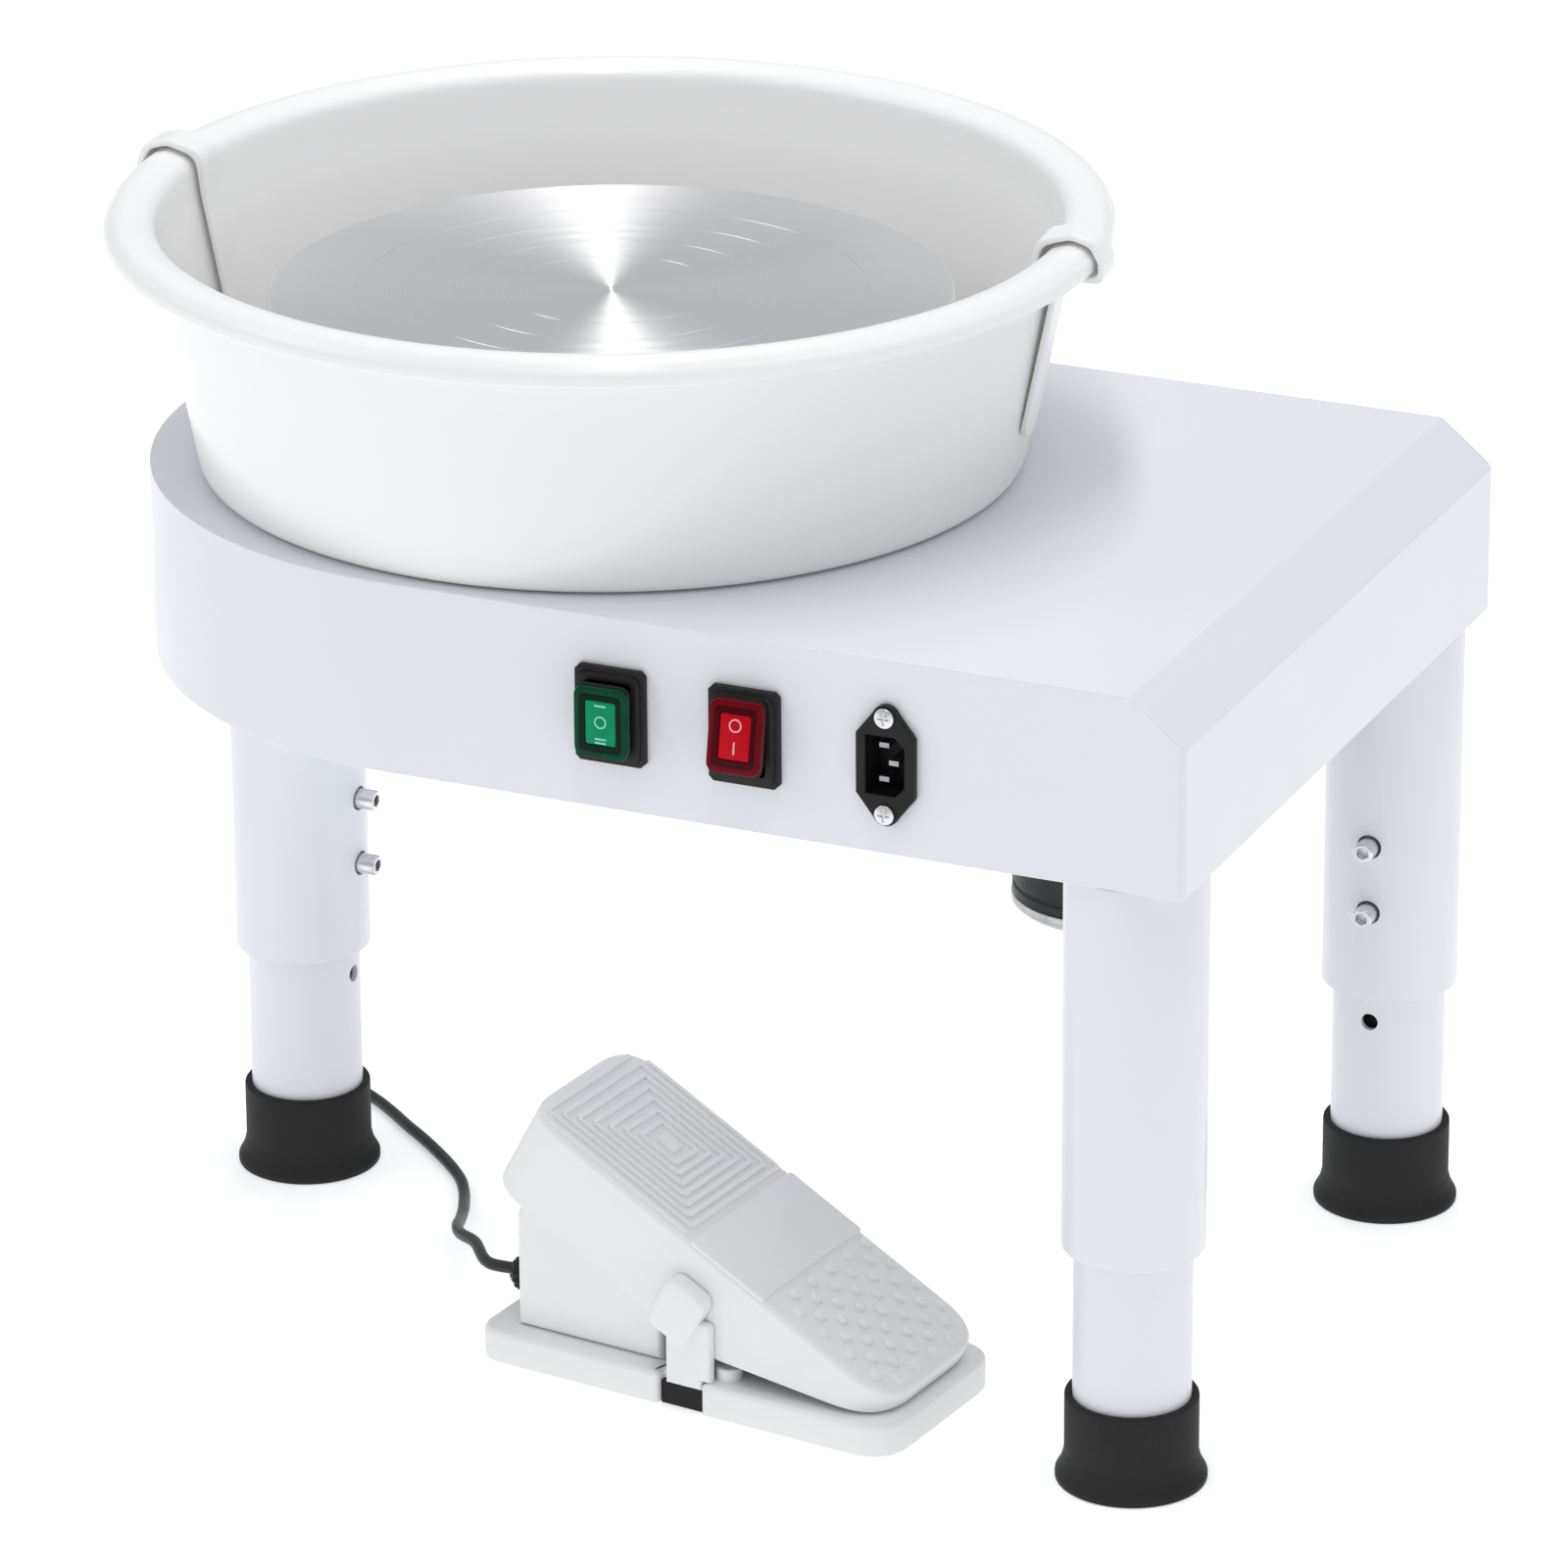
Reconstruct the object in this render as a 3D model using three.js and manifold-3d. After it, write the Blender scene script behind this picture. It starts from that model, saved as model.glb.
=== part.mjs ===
// Electric pottery wheel with a two-piece splash basin, three telescopic legs and a foot pedal.
// Millimetres, +Z up, floor at Z = 0. +X runs from the round end to the chamfered square end,
// and the switch panel faces -Y. The model is built around the wheel's axis (X = Y = 0) and then
// moved so that the origin is the middle of its footprint.
import * as THREE from "three";
import { mergeVertices } from "three/addons/utils/BufferGeometryUtils.js";
import Module from "manifold-3d";

const wasm = await Module();
wasm.setup();

// ---- driving dimensions ---------------------------------------------------------------------

const GAP = 0.3; // clearance between pieces that touch
const BODY = { half: 174, end: 320, roundX: -17.5, bottom: 262, top: 342.5, sheet: 2.5 };
const CHAMFER = { run: 23, drop: 18.6 };
const HEAD = { r: 140, top: 412.6, thick: 10, edge: 9, bevel: 1 };
const SHAFT = { r: 10, bottom: 266.5, top: 395.7 };
const BEARING = { r: 21, height: 12, lowZ: 294, highZ: 338 };
const PULLEY = { big: 60, small: 12, bottom: 270, height: 18, flange: 4, rim: 2.5 };
const BELT = { thick: 2.5, height: 12 };
const MOTOR = { x: 218, r: 38, bottom: 178, cap: 7, top: 258.3, shaftR: 5 };
const BASIN = {
  floor: 343.2, wall: 3, footR: 169.3, footZ: 354, topR: 185.6, topZ: 434,
  lipR: 204.8, lipTop: 452, lipBottom: 441, holeR: 46, collarZ: 366, cornerR: 9.5,
};
const SEAM = { angle: THREE.MathUtils.degToRad(4.5), tuck: 12, hook: 18, skin: 2.5, clear: 2, tongueZ: 366 };
const LEG = { leftX: -149.2, rightX: 289.5, y: 144.8, sleeveR: 28.5, tubeR: 23.7, wall: 2.5 };
const LEG_Z = { sleeve: 101.3, tubeBottom: 8, tubeTop: 240, holes: [89.4, 141, 170.5], holeR: 3.7 };
const FOOT = { r: 26.8, flare: 30.5, height: 36.8, flareZ: 11 };
const CLAMP = { headR: 4.4, holeR: 5.3, proud: 8, socket: 4, z: [141, 170.5] };
const SWITCH = {
  w: 30, h: 40, plate: 3, boot: 1.5, z: 302.4, powerX: 137.7, directionX: 80.5,
  bootW: 25, bootH: 34, caseW: 22, caseH: 31, caseDepth: 24, pocketW: 20, pocketH: 30, pocketDepth: 12,
};
const ROCKER = {
  pivotDepth: 4, stemW: 19, stemHalf: 12.5, stemBack: 4,
  capW: 23, capHalf: 15.5, capBack: 12.3, capFront: 16, offTilt: 11,
};
const INLET = { x: 197.5, z: 299.8, screw: 20, w: 24.7, shoulder: 12.4, plate: 3, cavityW: 16.5, cavityH: 24.5 };
const PEDAL = { x: 105.87, y: -118.28, heading: THREE.MathUtils.degToRad(-7), length: 195, width: 90, base: 14 };
const TREADLE = { slope: 28.2, topAtPivot: 73.6, back: -75, front: 95, half: 39.5, depth: 40, wall: 2.5 };
const PIVOT = { z: 44, pinR: 3 };
const CORD_R = 2.5;

const rad = THREE.MathUtils.degToRad;

// ---- materials ------------------------------------------------------------------------------

const finish = (color, roughness, metalness = 0) =>
  new THREE.MeshStandardMaterial({ color, roughness, metalness });
const enamel = () => finish(0xeef1f6, 0.35, 0.1);
const basinPlastic = () => finish(0xf4f2ec, 0.3);
const whitePlastic = () => finish(0xf1f0ee, 0.45);
const blackPlastic = () => finish(0x1a1a1b, 0.5);
const rubber = () => finish(0x1e1e1f, 0.85);
const zinc = () => finish(0xbfc3c7, 0.35, 1);
const aluminium = () => finish(0xd2d4d6, 0.3, 1);
const steel = () => finish(0x8d9196, 0.4, 1);
const greenLens = () => finish(0x0c6a3c, 0.15);
const redLens = () => finish(0x9c1220, 0.15);

// ---- shape helpers --------------------------------------------------------------------------

// A closed geometry as a solid for joining and cutting.
function solid(geometry) {
  const bare = geometry.clone();
  bare.deleteAttribute("normal");
  bare.deleteAttribute("uv");
  const merged = mergeVertices(bare, 1e-3);
  const mesh = new wasm.Mesh({
    numProp: 3,
    vertProperties: merged.attributes.position.array,
    triVerts: new Uint32Array(merged.index.array),
  });
  return new wasm.Manifold(mesh);
}

// A solid back as a geometry.
function shell(body) {
  const mesh = body.getMesh();
  const geometry = new THREE.BufferGeometry();
  geometry.setAttribute("position", new THREE.BufferAttribute(mesh.vertProperties, 3));
  geometry.setIndex(new THREE.BufferAttribute(mesh.triVerts, 1));
  geometry.computeVertexNormals();
  return geometry;
}

const union = (first, ...rest) => shell(rest.reduce((all, g) => all.add(solid(g)), solid(first)));
const minus = (first, ...rest) => shell(rest.reduce((all, g) => all.subtract(solid(g)), solid(first)));
const overlap = (first, ...rest) => shell(rest.reduce((all, g) => all.intersect(solid(g)), solid(first)));

// A profile of [radius, z] points, anticlockwise in that plane, turned about Z.
function revolve(points, segments = 24) {
  const profile = points.map(([r, z]) => new THREE.Vector2(r, z));
  const first = profile[0];
  const last = profile[profile.length - 1];
  if (first.x > 0 || last.x > 0) profile.push(first.clone());
  return new THREE.LatheGeometry(profile, segments).rotateX(Math.PI / 2);
}

const disc = (r, low, high, segments = 24) => revolve([[0, low], [r, low], [r, high], [0, high]], segments);

const ring = (inner, outer, low, high, segments = 24) =>
  revolve([[inner, low], [outer, low], [outer, high], [inner, high]], segments);

const block = (x0, x1, y0, y1, z0, z1) =>
  new THREE.BoxGeometry(x1 - x0, y1 - y0, z1 - z0)
    .translate((x0 + x1) / 2, (y0 + y1) / 2, (z0 + z1) / 2);

// A plan shape in XY, raised from z = low to z = high.
const prism = (shape, low, high, curveSegments = 8) =>
  new THREE.ExtrudeGeometry(shape, { depth: high - low, bevelEnabled: false, curveSegments })
    .translate(0, 0, low);

// A side view in XZ, carried from y = near to y = far.
const sidePrism = (shape, near, far, curveSegments = 8) =>
  new THREE.ExtrudeGeometry(shape, { depth: far - near, bevelEnabled: false, curveSegments })
    .rotateX(Math.PI / 2)
    .translate(0, far, 0);

const polygon = (points) => new THREE.Shape(points.map(([x, y]) => new THREE.Vector2(x, y)));

// A rectangle with its own radius at the low-x and the high-x corners.
function roundedPlan(x0, x1, y0, y1, lowR, highR) {
  const shape = new THREE.Shape();
  shape.moveTo(x0 + lowR, y0);
  shape.lineTo(x1 - highR, y0);
  shape.absarc(x1 - highR, y0 + highR, highR, -Math.PI / 2, 0);
  shape.lineTo(x1, y1 - highR);
  shape.absarc(x1 - highR, y1 - highR, highR, 0, Math.PI / 2);
  shape.lineTo(x0 + lowR, y1);
  shape.absarc(x0 + lowR, y1 - lowR, lowR, Math.PI / 2, Math.PI);
  shape.lineTo(x0, y0 + lowR);
  shape.absarc(x0 + lowR, y0 + lowR, lowR, Math.PI, 1.5 * Math.PI);
  return shape;
}

// A round bar from one point to another.
function bar(r, from, to, segments = 16) {
  const a = new THREE.Vector3(...from);
  const b = new THREE.Vector3(...to);
  const along = b.clone().sub(a);
  const turn = new THREE.Quaternion().setFromUnitVectors(new THREE.Vector3(0, 1, 0), along.clone().normalize());
  return new THREE.CylinderGeometry(r, r, along.length(), segments)
    .applyQuaternion(turn)
    .translate(...a.add(b).multiplyScalar(0.5).toArray());
}

function add(group, name, geometry, material) {
  const mesh = new THREE.Mesh(geometry, material);
  mesh.name = name;
  group.add(mesh);
  return mesh;
}

const machine = new THREE.Group();

// ---- body: sheet-metal shell and bottom plate -----------------------------------------------

// The plan of the body, inset from its outside: round at -X and square at +X.
function bodyPlan(inset) {
  const half = BODY.half - inset;
  const shape = new THREE.Shape();
  shape.moveTo(BODY.end - inset, -half);
  shape.lineTo(BODY.end - inset, half);
  shape.lineTo(BODY.roundX, half);
  shape.absarc(BODY.roundX, 0, half, Math.PI / 2, 1.5 * Math.PI);
  return shape;
}

// The wedge that the end chamfer takes off a block inset from the outside.
function chamferWedge(inset) {
  const length = Math.hypot(CHAMFER.run, CHAMFER.drop);
  const dx = (-inset * CHAMFER.drop) / length;
  const dz = (-inset * CHAMFER.run) / length;
  const slope = CHAMFER.drop / CHAMFER.run;
  const reach = 10;
  return sidePrism(
    polygon([
      [BODY.end - CHAMFER.run + dx - reach, BODY.top + dz + reach * slope],
      [BODY.end + dx + reach, BODY.top - CHAMFER.drop + dz - reach * slope],
      [BODY.end + dx + reach, BODY.top + dz + reach * slope],
    ]),
    -BODY.half - 1,
    BODY.half + 1,
  );
}

const PANEL_Y = -BODY.half;
const panelHole = (x, z, w, h) =>
  block(x - w / 2, x + w / 2, PANEL_Y - 1, PANEL_Y + BODY.sheet + 1, z - h / 2, z + h / 2);
const SWITCH_HOLE = { w: 23, h: 32 };
const INLET_HOLE = { w: 21, h: 29 };
const INLET_SCREW = { shankR: 1.6, headR: 4.1, head: 1.8 };
const HOUSING_R = 26;

function bodyShell() {
  const outer = minus(prism(bodyPlan(0), BODY.bottom, BODY.top, 20), chamferWedge(0));
  const inner = minus(
    prism(bodyPlan(BODY.sheet), BODY.bottom - 1, BODY.top - BODY.sheet, 20),
    chamferWedge(BODY.sheet),
  );
  const holes = [
    disc(HOUSING_R + 1, BODY.top - 5, BODY.top + 5),
    panelHole(SWITCH.directionX, SWITCH.z, SWITCH_HOLE.w, SWITCH_HOLE.h),
    panelHole(SWITCH.powerX, SWITCH.z, SWITCH_HOLE.w, SWITCH_HOLE.h),
    panelHole(INLET.x, INLET.z, INLET_HOLE.w, INLET_HOLE.h),
  ];
  for (const side of [-1, 1]) {
    const z = INLET.z + side * INLET.screw;
    holes.push(bar(INLET_SCREW.shankR + GAP, [INLET.x, PANEL_Y - 1, z], [INLET.x, PANEL_Y + 4, z], 12));
  }
  return minus(outer, inner, ...holes);
}

const LEGS = [
  { name: "left", x: LEG.leftX, y: 0, face: [1, 0] },
  { name: "front", x: LEG.rightX, y: -LEG.y, face: [0, 1] },
  { name: "back", x: LEG.rightX, y: LEG.y, face: [0, -1] },
];
const PLATE_TOP = BODY.bottom + 3;
const SCREW_SPOTS = [[-60, -150], [-60, 150], [205, -150], [205, 150]];
const PLATE_SCREW = { headR: 5, head: 2.5, shankR: 2, shank: 8 };
const GLAND = { x: -171, y: 45, r: 7, drop: 12 };

function bottomPlate() {
  const holes = LEGS.map((leg) => disc(LEG.tubeR + 1, 250, 280).translate(leg.x, leg.y, 0));
  holes.push(disc(18, 250, 280).translate(MOTOR.x, 0, 0));
  for (const [x, y] of SCREW_SPOTS) {
    holes.push(disc(PLATE_SCREW.shankR + GAP, 250, 280, 12).translate(x, y, 0));
  }
  return minus(prism(bodyPlan(BODY.sheet + GAP), BODY.bottom, PLATE_TOP, 20), ...holes);
}

add(machine, "body_shell", bodyShell(), enamel());
add(machine, "bottom_plate", bottomPlate(), enamel());
SCREW_SPOTS.forEach(([x, y], i) => {
  const top = BODY.bottom - GAP;
  const screw = revolve([
    [0, top - PLATE_SCREW.head],
    [PLATE_SCREW.headR, top - PLATE_SCREW.head],
    [PLATE_SCREW.headR, top],
    [PLATE_SCREW.shankR, top],
    [PLATE_SCREW.shankR, top + PLATE_SCREW.shank],
    [0, top + PLATE_SCREW.shank],
  ], 12);
  add(machine, `plate_screw_${i + 1}`, screw.translate(x, y, 0), zinc());
});

// ---- legs: sleeve on the body, inner tube, rubber foot and two clamp bolts each --------------

function legHole(leg, z, r, from, to) {
  const [fx, fy] = leg.face;
  return bar(
    r,
    [leg.x + fx * from, leg.y + fy * from, z],
    [leg.x + fx * to, leg.y + fy * to, z],
    12,
  );
}

for (const leg of LEGS) {
  const sleeve = ring(LEG.sleeveR - LEG.wall, LEG.sleeveR, LEG_Z.sleeve, BODY.bottom - GAP);
  const tube = ring(LEG.tubeR - LEG.wall, LEG.tubeR, LEG_Z.tubeBottom, LEG_Z.tubeTop);
  const sleeveHoles = CLAMP.z.map((z) => legHole(leg, z, CLAMP.holeR, 20, 34));
  const tubeHoles = LEG_Z.holes.map((z) => legHole(leg, z, LEG_Z.holeR, 16, 34));
  add(machine, `leg_sleeve_${leg.name}`, minus(sleeve.translate(leg.x, leg.y, 0), ...sleeveHoles), enamel());
  add(machine, `leg_tube_${leg.name}`, minus(tube.translate(leg.x, leg.y, 0), ...tubeHoles), enamel());
  const foot = revolve([
    [0, 0],
    [FOOT.flare, 0],
    [FOOT.flare, 2.5],
    [FOOT.r + 1, FOOT.flareZ - 4],
    [FOOT.r, FOOT.flareZ],
    [FOOT.r, FOOT.height],
    [LEG.tubeR + GAP, FOOT.height],
    [LEG.tubeR + GAP, LEG_Z.tubeBottom - GAP],
    [0, LEG_Z.tubeBottom - GAP],
  ]);
  add(machine, `foot_${leg.name}`, foot.translate(leg.x, leg.y, 0), rubber());
  CLAMP.z.forEach((z, i) => {
    const seat = LEG.tubeR + GAP;
    const face = LEG.sleeveR + CLAMP.proud;
    const head = legHole(leg, z, CLAMP.headR, seat, face);
    const socket = legHole(leg, z, CLAMP.headR / 2, face - CLAMP.socket, face + 1);
    add(machine, `clamp_bolt_${leg.name}_${i + 1}`, minus(head, socket), zinc());
  });
}

// ---- wheel: head, hub, shaft, bearings and driven pulley -------------------------------------

function pulley(rimR, boreR, segments) {
  const low = PULLEY.bottom;
  const high = low + PULLEY.height;
  const outer = rimR + PULLEY.flange;
  return revolve([
    [boreR, low],
    [outer, low],
    [outer, low + PULLEY.rim],
    [rimR, low + PULLEY.rim],
    [rimR, high - PULLEY.rim],
    [outer, high - PULLEY.rim],
    [outer, high],
    [boreR, high],
  ], segments);
}

const headBottom = HEAD.top - HEAD.thick;
add(machine, "wheel_head", revolve([
  [0, headBottom],
  [HEAD.r - HEAD.bevel, headBottom],
  [HEAD.r, HEAD.top - HEAD.edge],
  [HEAD.r, HEAD.top],
  [0, HEAD.top],
], 48), aluminium());
add(machine, "wheel_hub", revolve([
  [0, SHAFT.top + GAP],
  [SHAFT.r + GAP, SHAFT.top + GAP],
  [SHAFT.r + GAP, 372],
  [24, 372],
  [24, 388],
  [34, 396],
  [34, headBottom - GAP],
  [0, headBottom - GAP],
]), aluminium());
add(machine, "wheel_shaft", disc(SHAFT.r, SHAFT.bottom, SHAFT.top), steel());
add(machine, "wheel_pulley", pulley(PULLEY.big, SHAFT.r + GAP, 28), aluminium());

const housingInner = BEARING.r + GAP;
const flangeTop = BODY.top - BODY.sheet - GAP;
add(machine, "bearing_housing", revolve([
  [housingInner, 292],
  [HOUSING_R, 292],
  [HOUSING_R, flangeTop - 8],
  [44, flangeTop - 8],
  [44, flangeTop],
  [HOUSING_R, flangeTop],
  [HOUSING_R, 352],
  [housingInner, 352],
]), aluminium());
for (const [name, z] of [["bearing_lower", BEARING.lowZ], ["bearing_upper", BEARING.highZ]]) {
  add(machine, name, ring(SHAFT.r + GAP, BEARING.r, z, z + BEARING.height), steel());
}

// ---- motor and belt drive --------------------------------------------------------------------

// An open-belt loop round two pulleys, at a given radius on each.
function beltLoop(bigR, smallR) {
  const tangent = Math.acos((bigR - smallR) / MOTOR.x);
  const loop = new THREE.Path();
  loop.absarc(0, 0, bigR, tangent, 2 * Math.PI - tangent);
  loop.absarc(MOTOR.x, 0, smallR, -tangent, tangent);
  loop.closePath();
  return loop.getPoints(11);
}

const beltShape = new THREE.Shape(beltLoop(PULLEY.big + GAP + BELT.thick, PULLEY.small + GAP + BELT.thick));
beltShape.holes.push(new THREE.Path(beltLoop(PULLEY.big + GAP, PULLEY.small + GAP)));
const beltLow = PULLEY.bottom + (PULLEY.height - BELT.height) / 2;
add(machine, "drive_belt", prism(beltShape, beltLow, beltLow + BELT.height), rubber());

const motor = new THREE.Group();
motor.position.x = MOTOR.x;
machine.add(motor);
const canBottom = MOTOR.bottom + MOTOR.cap + GAP;
const shaftSeat = 245;
add(motor, "motor_can", revolve([
  [0, canBottom],
  [MOTOR.r, canBottom],
  [MOTOR.r, MOTOR.top],
  [MOTOR.shaftR + GAP, MOTOR.top],
  [MOTOR.shaftR + GAP, shaftSeat],
  [0, shaftSeat],
], 32), blackPlastic());
add(motor, "motor_end_cap", revolve([
  [0, MOTOR.bottom],
  [MOTOR.r - 3, MOTOR.bottom],
  [MOTOR.r, MOTOR.bottom + 3],
  [MOTOR.r, MOTOR.bottom + MOTOR.cap],
  [0, MOTOR.bottom + MOTOR.cap],
], 32), steel());
add(motor, "motor_bracket", minus(
  block(-50, 50, -50, 50, MOTOR.top + GAP, BODY.bottom - GAP),
  disc(12, 250, 270),
), steel());
add(motor, "motor_shaft", disc(MOTOR.shaftR, shaftSeat + GAP, PULLEY.bottom + PULLEY.height + 2, 16), steel());
add(motor, "motor_pulley", pulley(PULLEY.small, MOTOR.shaftR + GAP, 16), aluminium());

add(machine, "controller_box", block(95, 172, -142, -84, PLATE_TOP + GAP, 325), aluminium());

// ---- control panel: two rocker switches and the mains inlet ----------------------------------

const plateBack = PANEL_Y - GAP;
const bootFront = plateBack - SWITCH.plate - SWITCH.boot;

const pivotY = PANEL_Y + ROCKER.pivotDepth;

// A plate and a low boot on the panel, and the case behind it with the rocker's pocket.
function switchBody(x) {
  const centred = (w, h, front, back) =>
    block(x - w / 2, x + w / 2, front, back, SWITCH.z - h / 2, SWITCH.z + h / 2);
  const plate = centred(SWITCH.w, SWITCH.h, plateBack - SWITCH.plate, plateBack);
  const boot = centred(SWITCH.bootW, SWITCH.bootH, bootFront, plateBack - 1);
  const core = centred(SWITCH.caseW, SWITCH.caseH, plateBack - 1, PANEL_Y + SWITCH.caseDepth);
  const pocket = centred(SWITCH.pocketW, SWITCH.pocketH, bootFront - 1, PANEL_Y + SWITCH.pocketDepth);
  return minus(union(plate, boot, core), pocket);
}

// A stem that turns in the pocket about a line along X, with a wide cap on its front.
function rocker(x, tilt) {
  const stem = block(
    -ROCKER.stemW / 2, ROCKER.stemW / 2, -ROCKER.capBack - 1, ROCKER.stemBack, -ROCKER.stemHalf, ROCKER.stemHalf,
  );
  const cap = block(
    -ROCKER.capW / 2, ROCKER.capW / 2, -ROCKER.capFront, -ROCKER.capBack, -ROCKER.capHalf, ROCKER.capHalf,
  );
  return union(stem, cap).rotateX(tilt).translate(x, pivotY, SWITCH.z);
}

add(machine, "direction_switch_body", switchBody(SWITCH.directionX), blackPlastic());
add(machine, "direction_rocker", rocker(SWITCH.directionX, 0), greenLens());
add(machine, "power_switch_body", switchBody(SWITCH.powerX), blackPlastic());
add(machine, "power_rocker", rocker(SWITCH.powerX, -rad(ROCKER.offTilt)), redLens());

function inletHousing() {
  const earR = 5;
  const w = INLET.w / 2;
  const plan = new THREE.Shape();
  plan.moveTo(w, -INLET.shoulder);
  plan.lineTo(w, INLET.shoulder);
  plan.absarc(0, INLET.screw, earR, rad(35), rad(145));
  plan.lineTo(-w, INLET.shoulder);
  plan.lineTo(-w, -INLET.shoulder);
  plan.absarc(0, -INLET.screw, earR, rad(215), rad(325));
  const face = sidePrism(plan, plateBack - INLET.plate, plateBack).translate(INLET.x, 0, INLET.z);
  const core = block(
    INLET.x - 10, INLET.x + 10, plateBack - 1, PANEL_Y + 22, INLET.z - 14, INLET.z + 14,
  );
  const cw = INLET.cavityW / 2;
  const ch = INLET.cavityH / 2;
  const cut = 4;
  const mouth = polygon([[-cw, -ch], [cw - cut, -ch], [cw, -ch + cut], [cw, ch - cut], [cw - cut, ch], [-cw, ch]]);
  const cavity = sidePrism(mouth, plateBack - INLET.plate - 1, PANEL_Y + 12).translate(INLET.x, 0, INLET.z);
  const holes = [-1, 1].map((side) => {
    const z = INLET.z + side * INLET.screw;
    return bar(INLET_SCREW.shankR + GAP, [INLET.x, PANEL_Y - 5, z], [INLET.x, PANEL_Y + 1, z], 12);
  });
  return minus(union(face, core), cavity, ...holes);
}

add(machine, "inlet_housing", inletHousing(), blackPlastic());
for (const [name, dx, dz] of [["live", -2, 7], ["earth", 2, 0], ["neutral", -2, -7]]) {
  const pin = block(dx - 2, dx + 2, PANEL_Y + 12 - 11, PANEL_Y + 12 - GAP, dz - 1, dz + 1);
  add(machine, `inlet_pin_${name}`, pin.translate(INLET.x, 0, INLET.z), zinc());
}
[-1, 1].forEach((side, i) => {
  const z = INLET.z + side * INLET.screw;
  const face = plateBack - INLET.plate - GAP;
  const head = bar(INLET_SCREW.headR, [INLET.x, face - INLET_SCREW.head, z], [INLET.x, face, z]);
  const shank = bar(INLET_SCREW.shankR, [INLET.x, face - 1, z], [INLET.x, PANEL_Y + 6, z], 12);
  add(machine, `inlet_screw_${i + 1}`, union(head, shank), zinc());
});

// ---- splash basin: two halves, the rear one hooks over the front one's ends -------------------

// The basin's section as [radius, z] points, grown by a skin on every side.
function basinSection(grow) {
  const t = BASIN.wall;
  const draft = (BASIN.topR - BASIN.footR) / (BASIN.topZ - BASIN.footZ);
  const lipMid = (BASIN.lipR + BASIN.topR) / 2;
  const g = grow;
  return [
    [BASIN.footR + g, BASIN.footZ],
    [BASIN.topR + g, BASIN.topZ],
    [BASIN.topR + 1.5 + g, BASIN.lipBottom + 1 - g],
    [lipMid, BASIN.lipTop - t - 1.5 - g],
    [BASIN.lipR - t - g, BASIN.lipBottom + 3 - g],
    [BASIN.lipR - t - g, BASIN.lipBottom - g],
    [BASIN.lipR + g, BASIN.lipBottom - g],
    [BASIN.lipR + g, BASIN.lipBottom + 4],
    [BASIN.lipR - 3.5 + g, BASIN.lipTop - 2.5 + g],
    [lipMid, BASIN.lipTop + g],
    [BASIN.topR - 1 - g, BASIN.lipTop - 4 + g],
    [BASIN.topR - t - g, BASIN.topZ],
    [BASIN.footR - t - draft * g - g, BASIN.footZ],
  ];
}

function basinRing() {
  const t = BASIN.wall;
  const r = BASIN.cornerR;
  const centre = [BASIN.footR - r, BASIN.floor + r];
  const corner = (radius, from, to) =>
    [0, 1, 2].map((i) => {
      const a = from + ((to - from) * i) / 2;
      return [centre[0] + radius * Math.cos(a), centre[1] + radius * Math.sin(a)];
    });
  return revolve([
    [BASIN.holeR, BASIN.floor],
    ...corner(r, -Math.PI / 2, 0),
    ...basinSection(0).slice(1, -1),
    ...corner(r - t, 0, -Math.PI / 2),
    [BASIN.holeR + t, BASIN.floor + t],
    [BASIN.holeR + t, BASIN.collarZ],
    [BASIN.holeR, BASIN.collarZ],
  ], 56);
}

const far = 300;
const seamSlab = (y0, y1, z0) => block(-far, far, y0, y1, z0, 500);
const basin = new THREE.Group();
basin.rotation.z = SEAM.angle;
machine.add(basin);
const fullRing = basinRing();
add(basin, "basin_front", overlap(fullRing, seamSlab(-far, SEAM.tuck, 300)), basinPlastic());

const hookSkin = overlap(
  revolve(basinSection(SEAM.clear + SEAM.skin), 56),
  seamSlab(0, SEAM.hook, SEAM.tongueZ),
);
const hookRoom = overlap(
  revolve(basinSection(SEAM.clear), 56),
  seamSlab(-1, SEAM.tuck + GAP, SEAM.tongueZ - 1),
);
const rearHalf = overlap(fullRing, seamSlab(SEAM.tuck + GAP, far, 300));
add(basin, "basin_rear", minus(union(rearHalf, hookSkin), hookRoom), basinPlastic());

// ---- foot pedal: base, housing, pivot brackets and rocking treadle ----------------------------

const pedal = new THREE.Group();
pedal.position.set(PEDAL.x, PEDAL.y, 0);
pedal.rotation.z = PEDAL.heading;
machine.add(pedal);

const baseHalf = { x: PEDAL.length / 2, y: PEDAL.width / 2 };
const STRIP = { half: 10, height: 9.7, recess: 3 };
const POST = { x: 17, y: 33.5, r: 5.5, top: 19.5 };

function pedalBase() {
  const slab = prism(roundedPlan(-baseHalf.x, baseHalf.x, -baseHalf.y, baseHalf.y, 12, 18), 0, PEDAL.base);
  const posts = [-1, 1].map((side) => disc(POST.r, 10, POST.top, 16).translate(POST.x, side * POST.y, 0));
  const groove = block(-STRIP.half - GAP, STRIP.half + GAP, -60, 60, -1, STRIP.height + GAP);
  const notches = [-1, 1].map((side) =>
    block(-STRIP.half - GAP, STRIP.half + GAP, side * 47.5 - 8, side * 47.5 + 8, -1, 30));
  return minus(union(slab, ...posts), groove, ...notches);
}

add(pedal, "pedal_base", pedalBase(), whitePlastic());
add(pedal, "pedal_rubber_strip", block(
  -STRIP.half, STRIP.half, -baseHalf.y + STRIP.recess, baseHalf.y - STRIP.recess, 0, STRIP.height,
), rubber());

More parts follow.
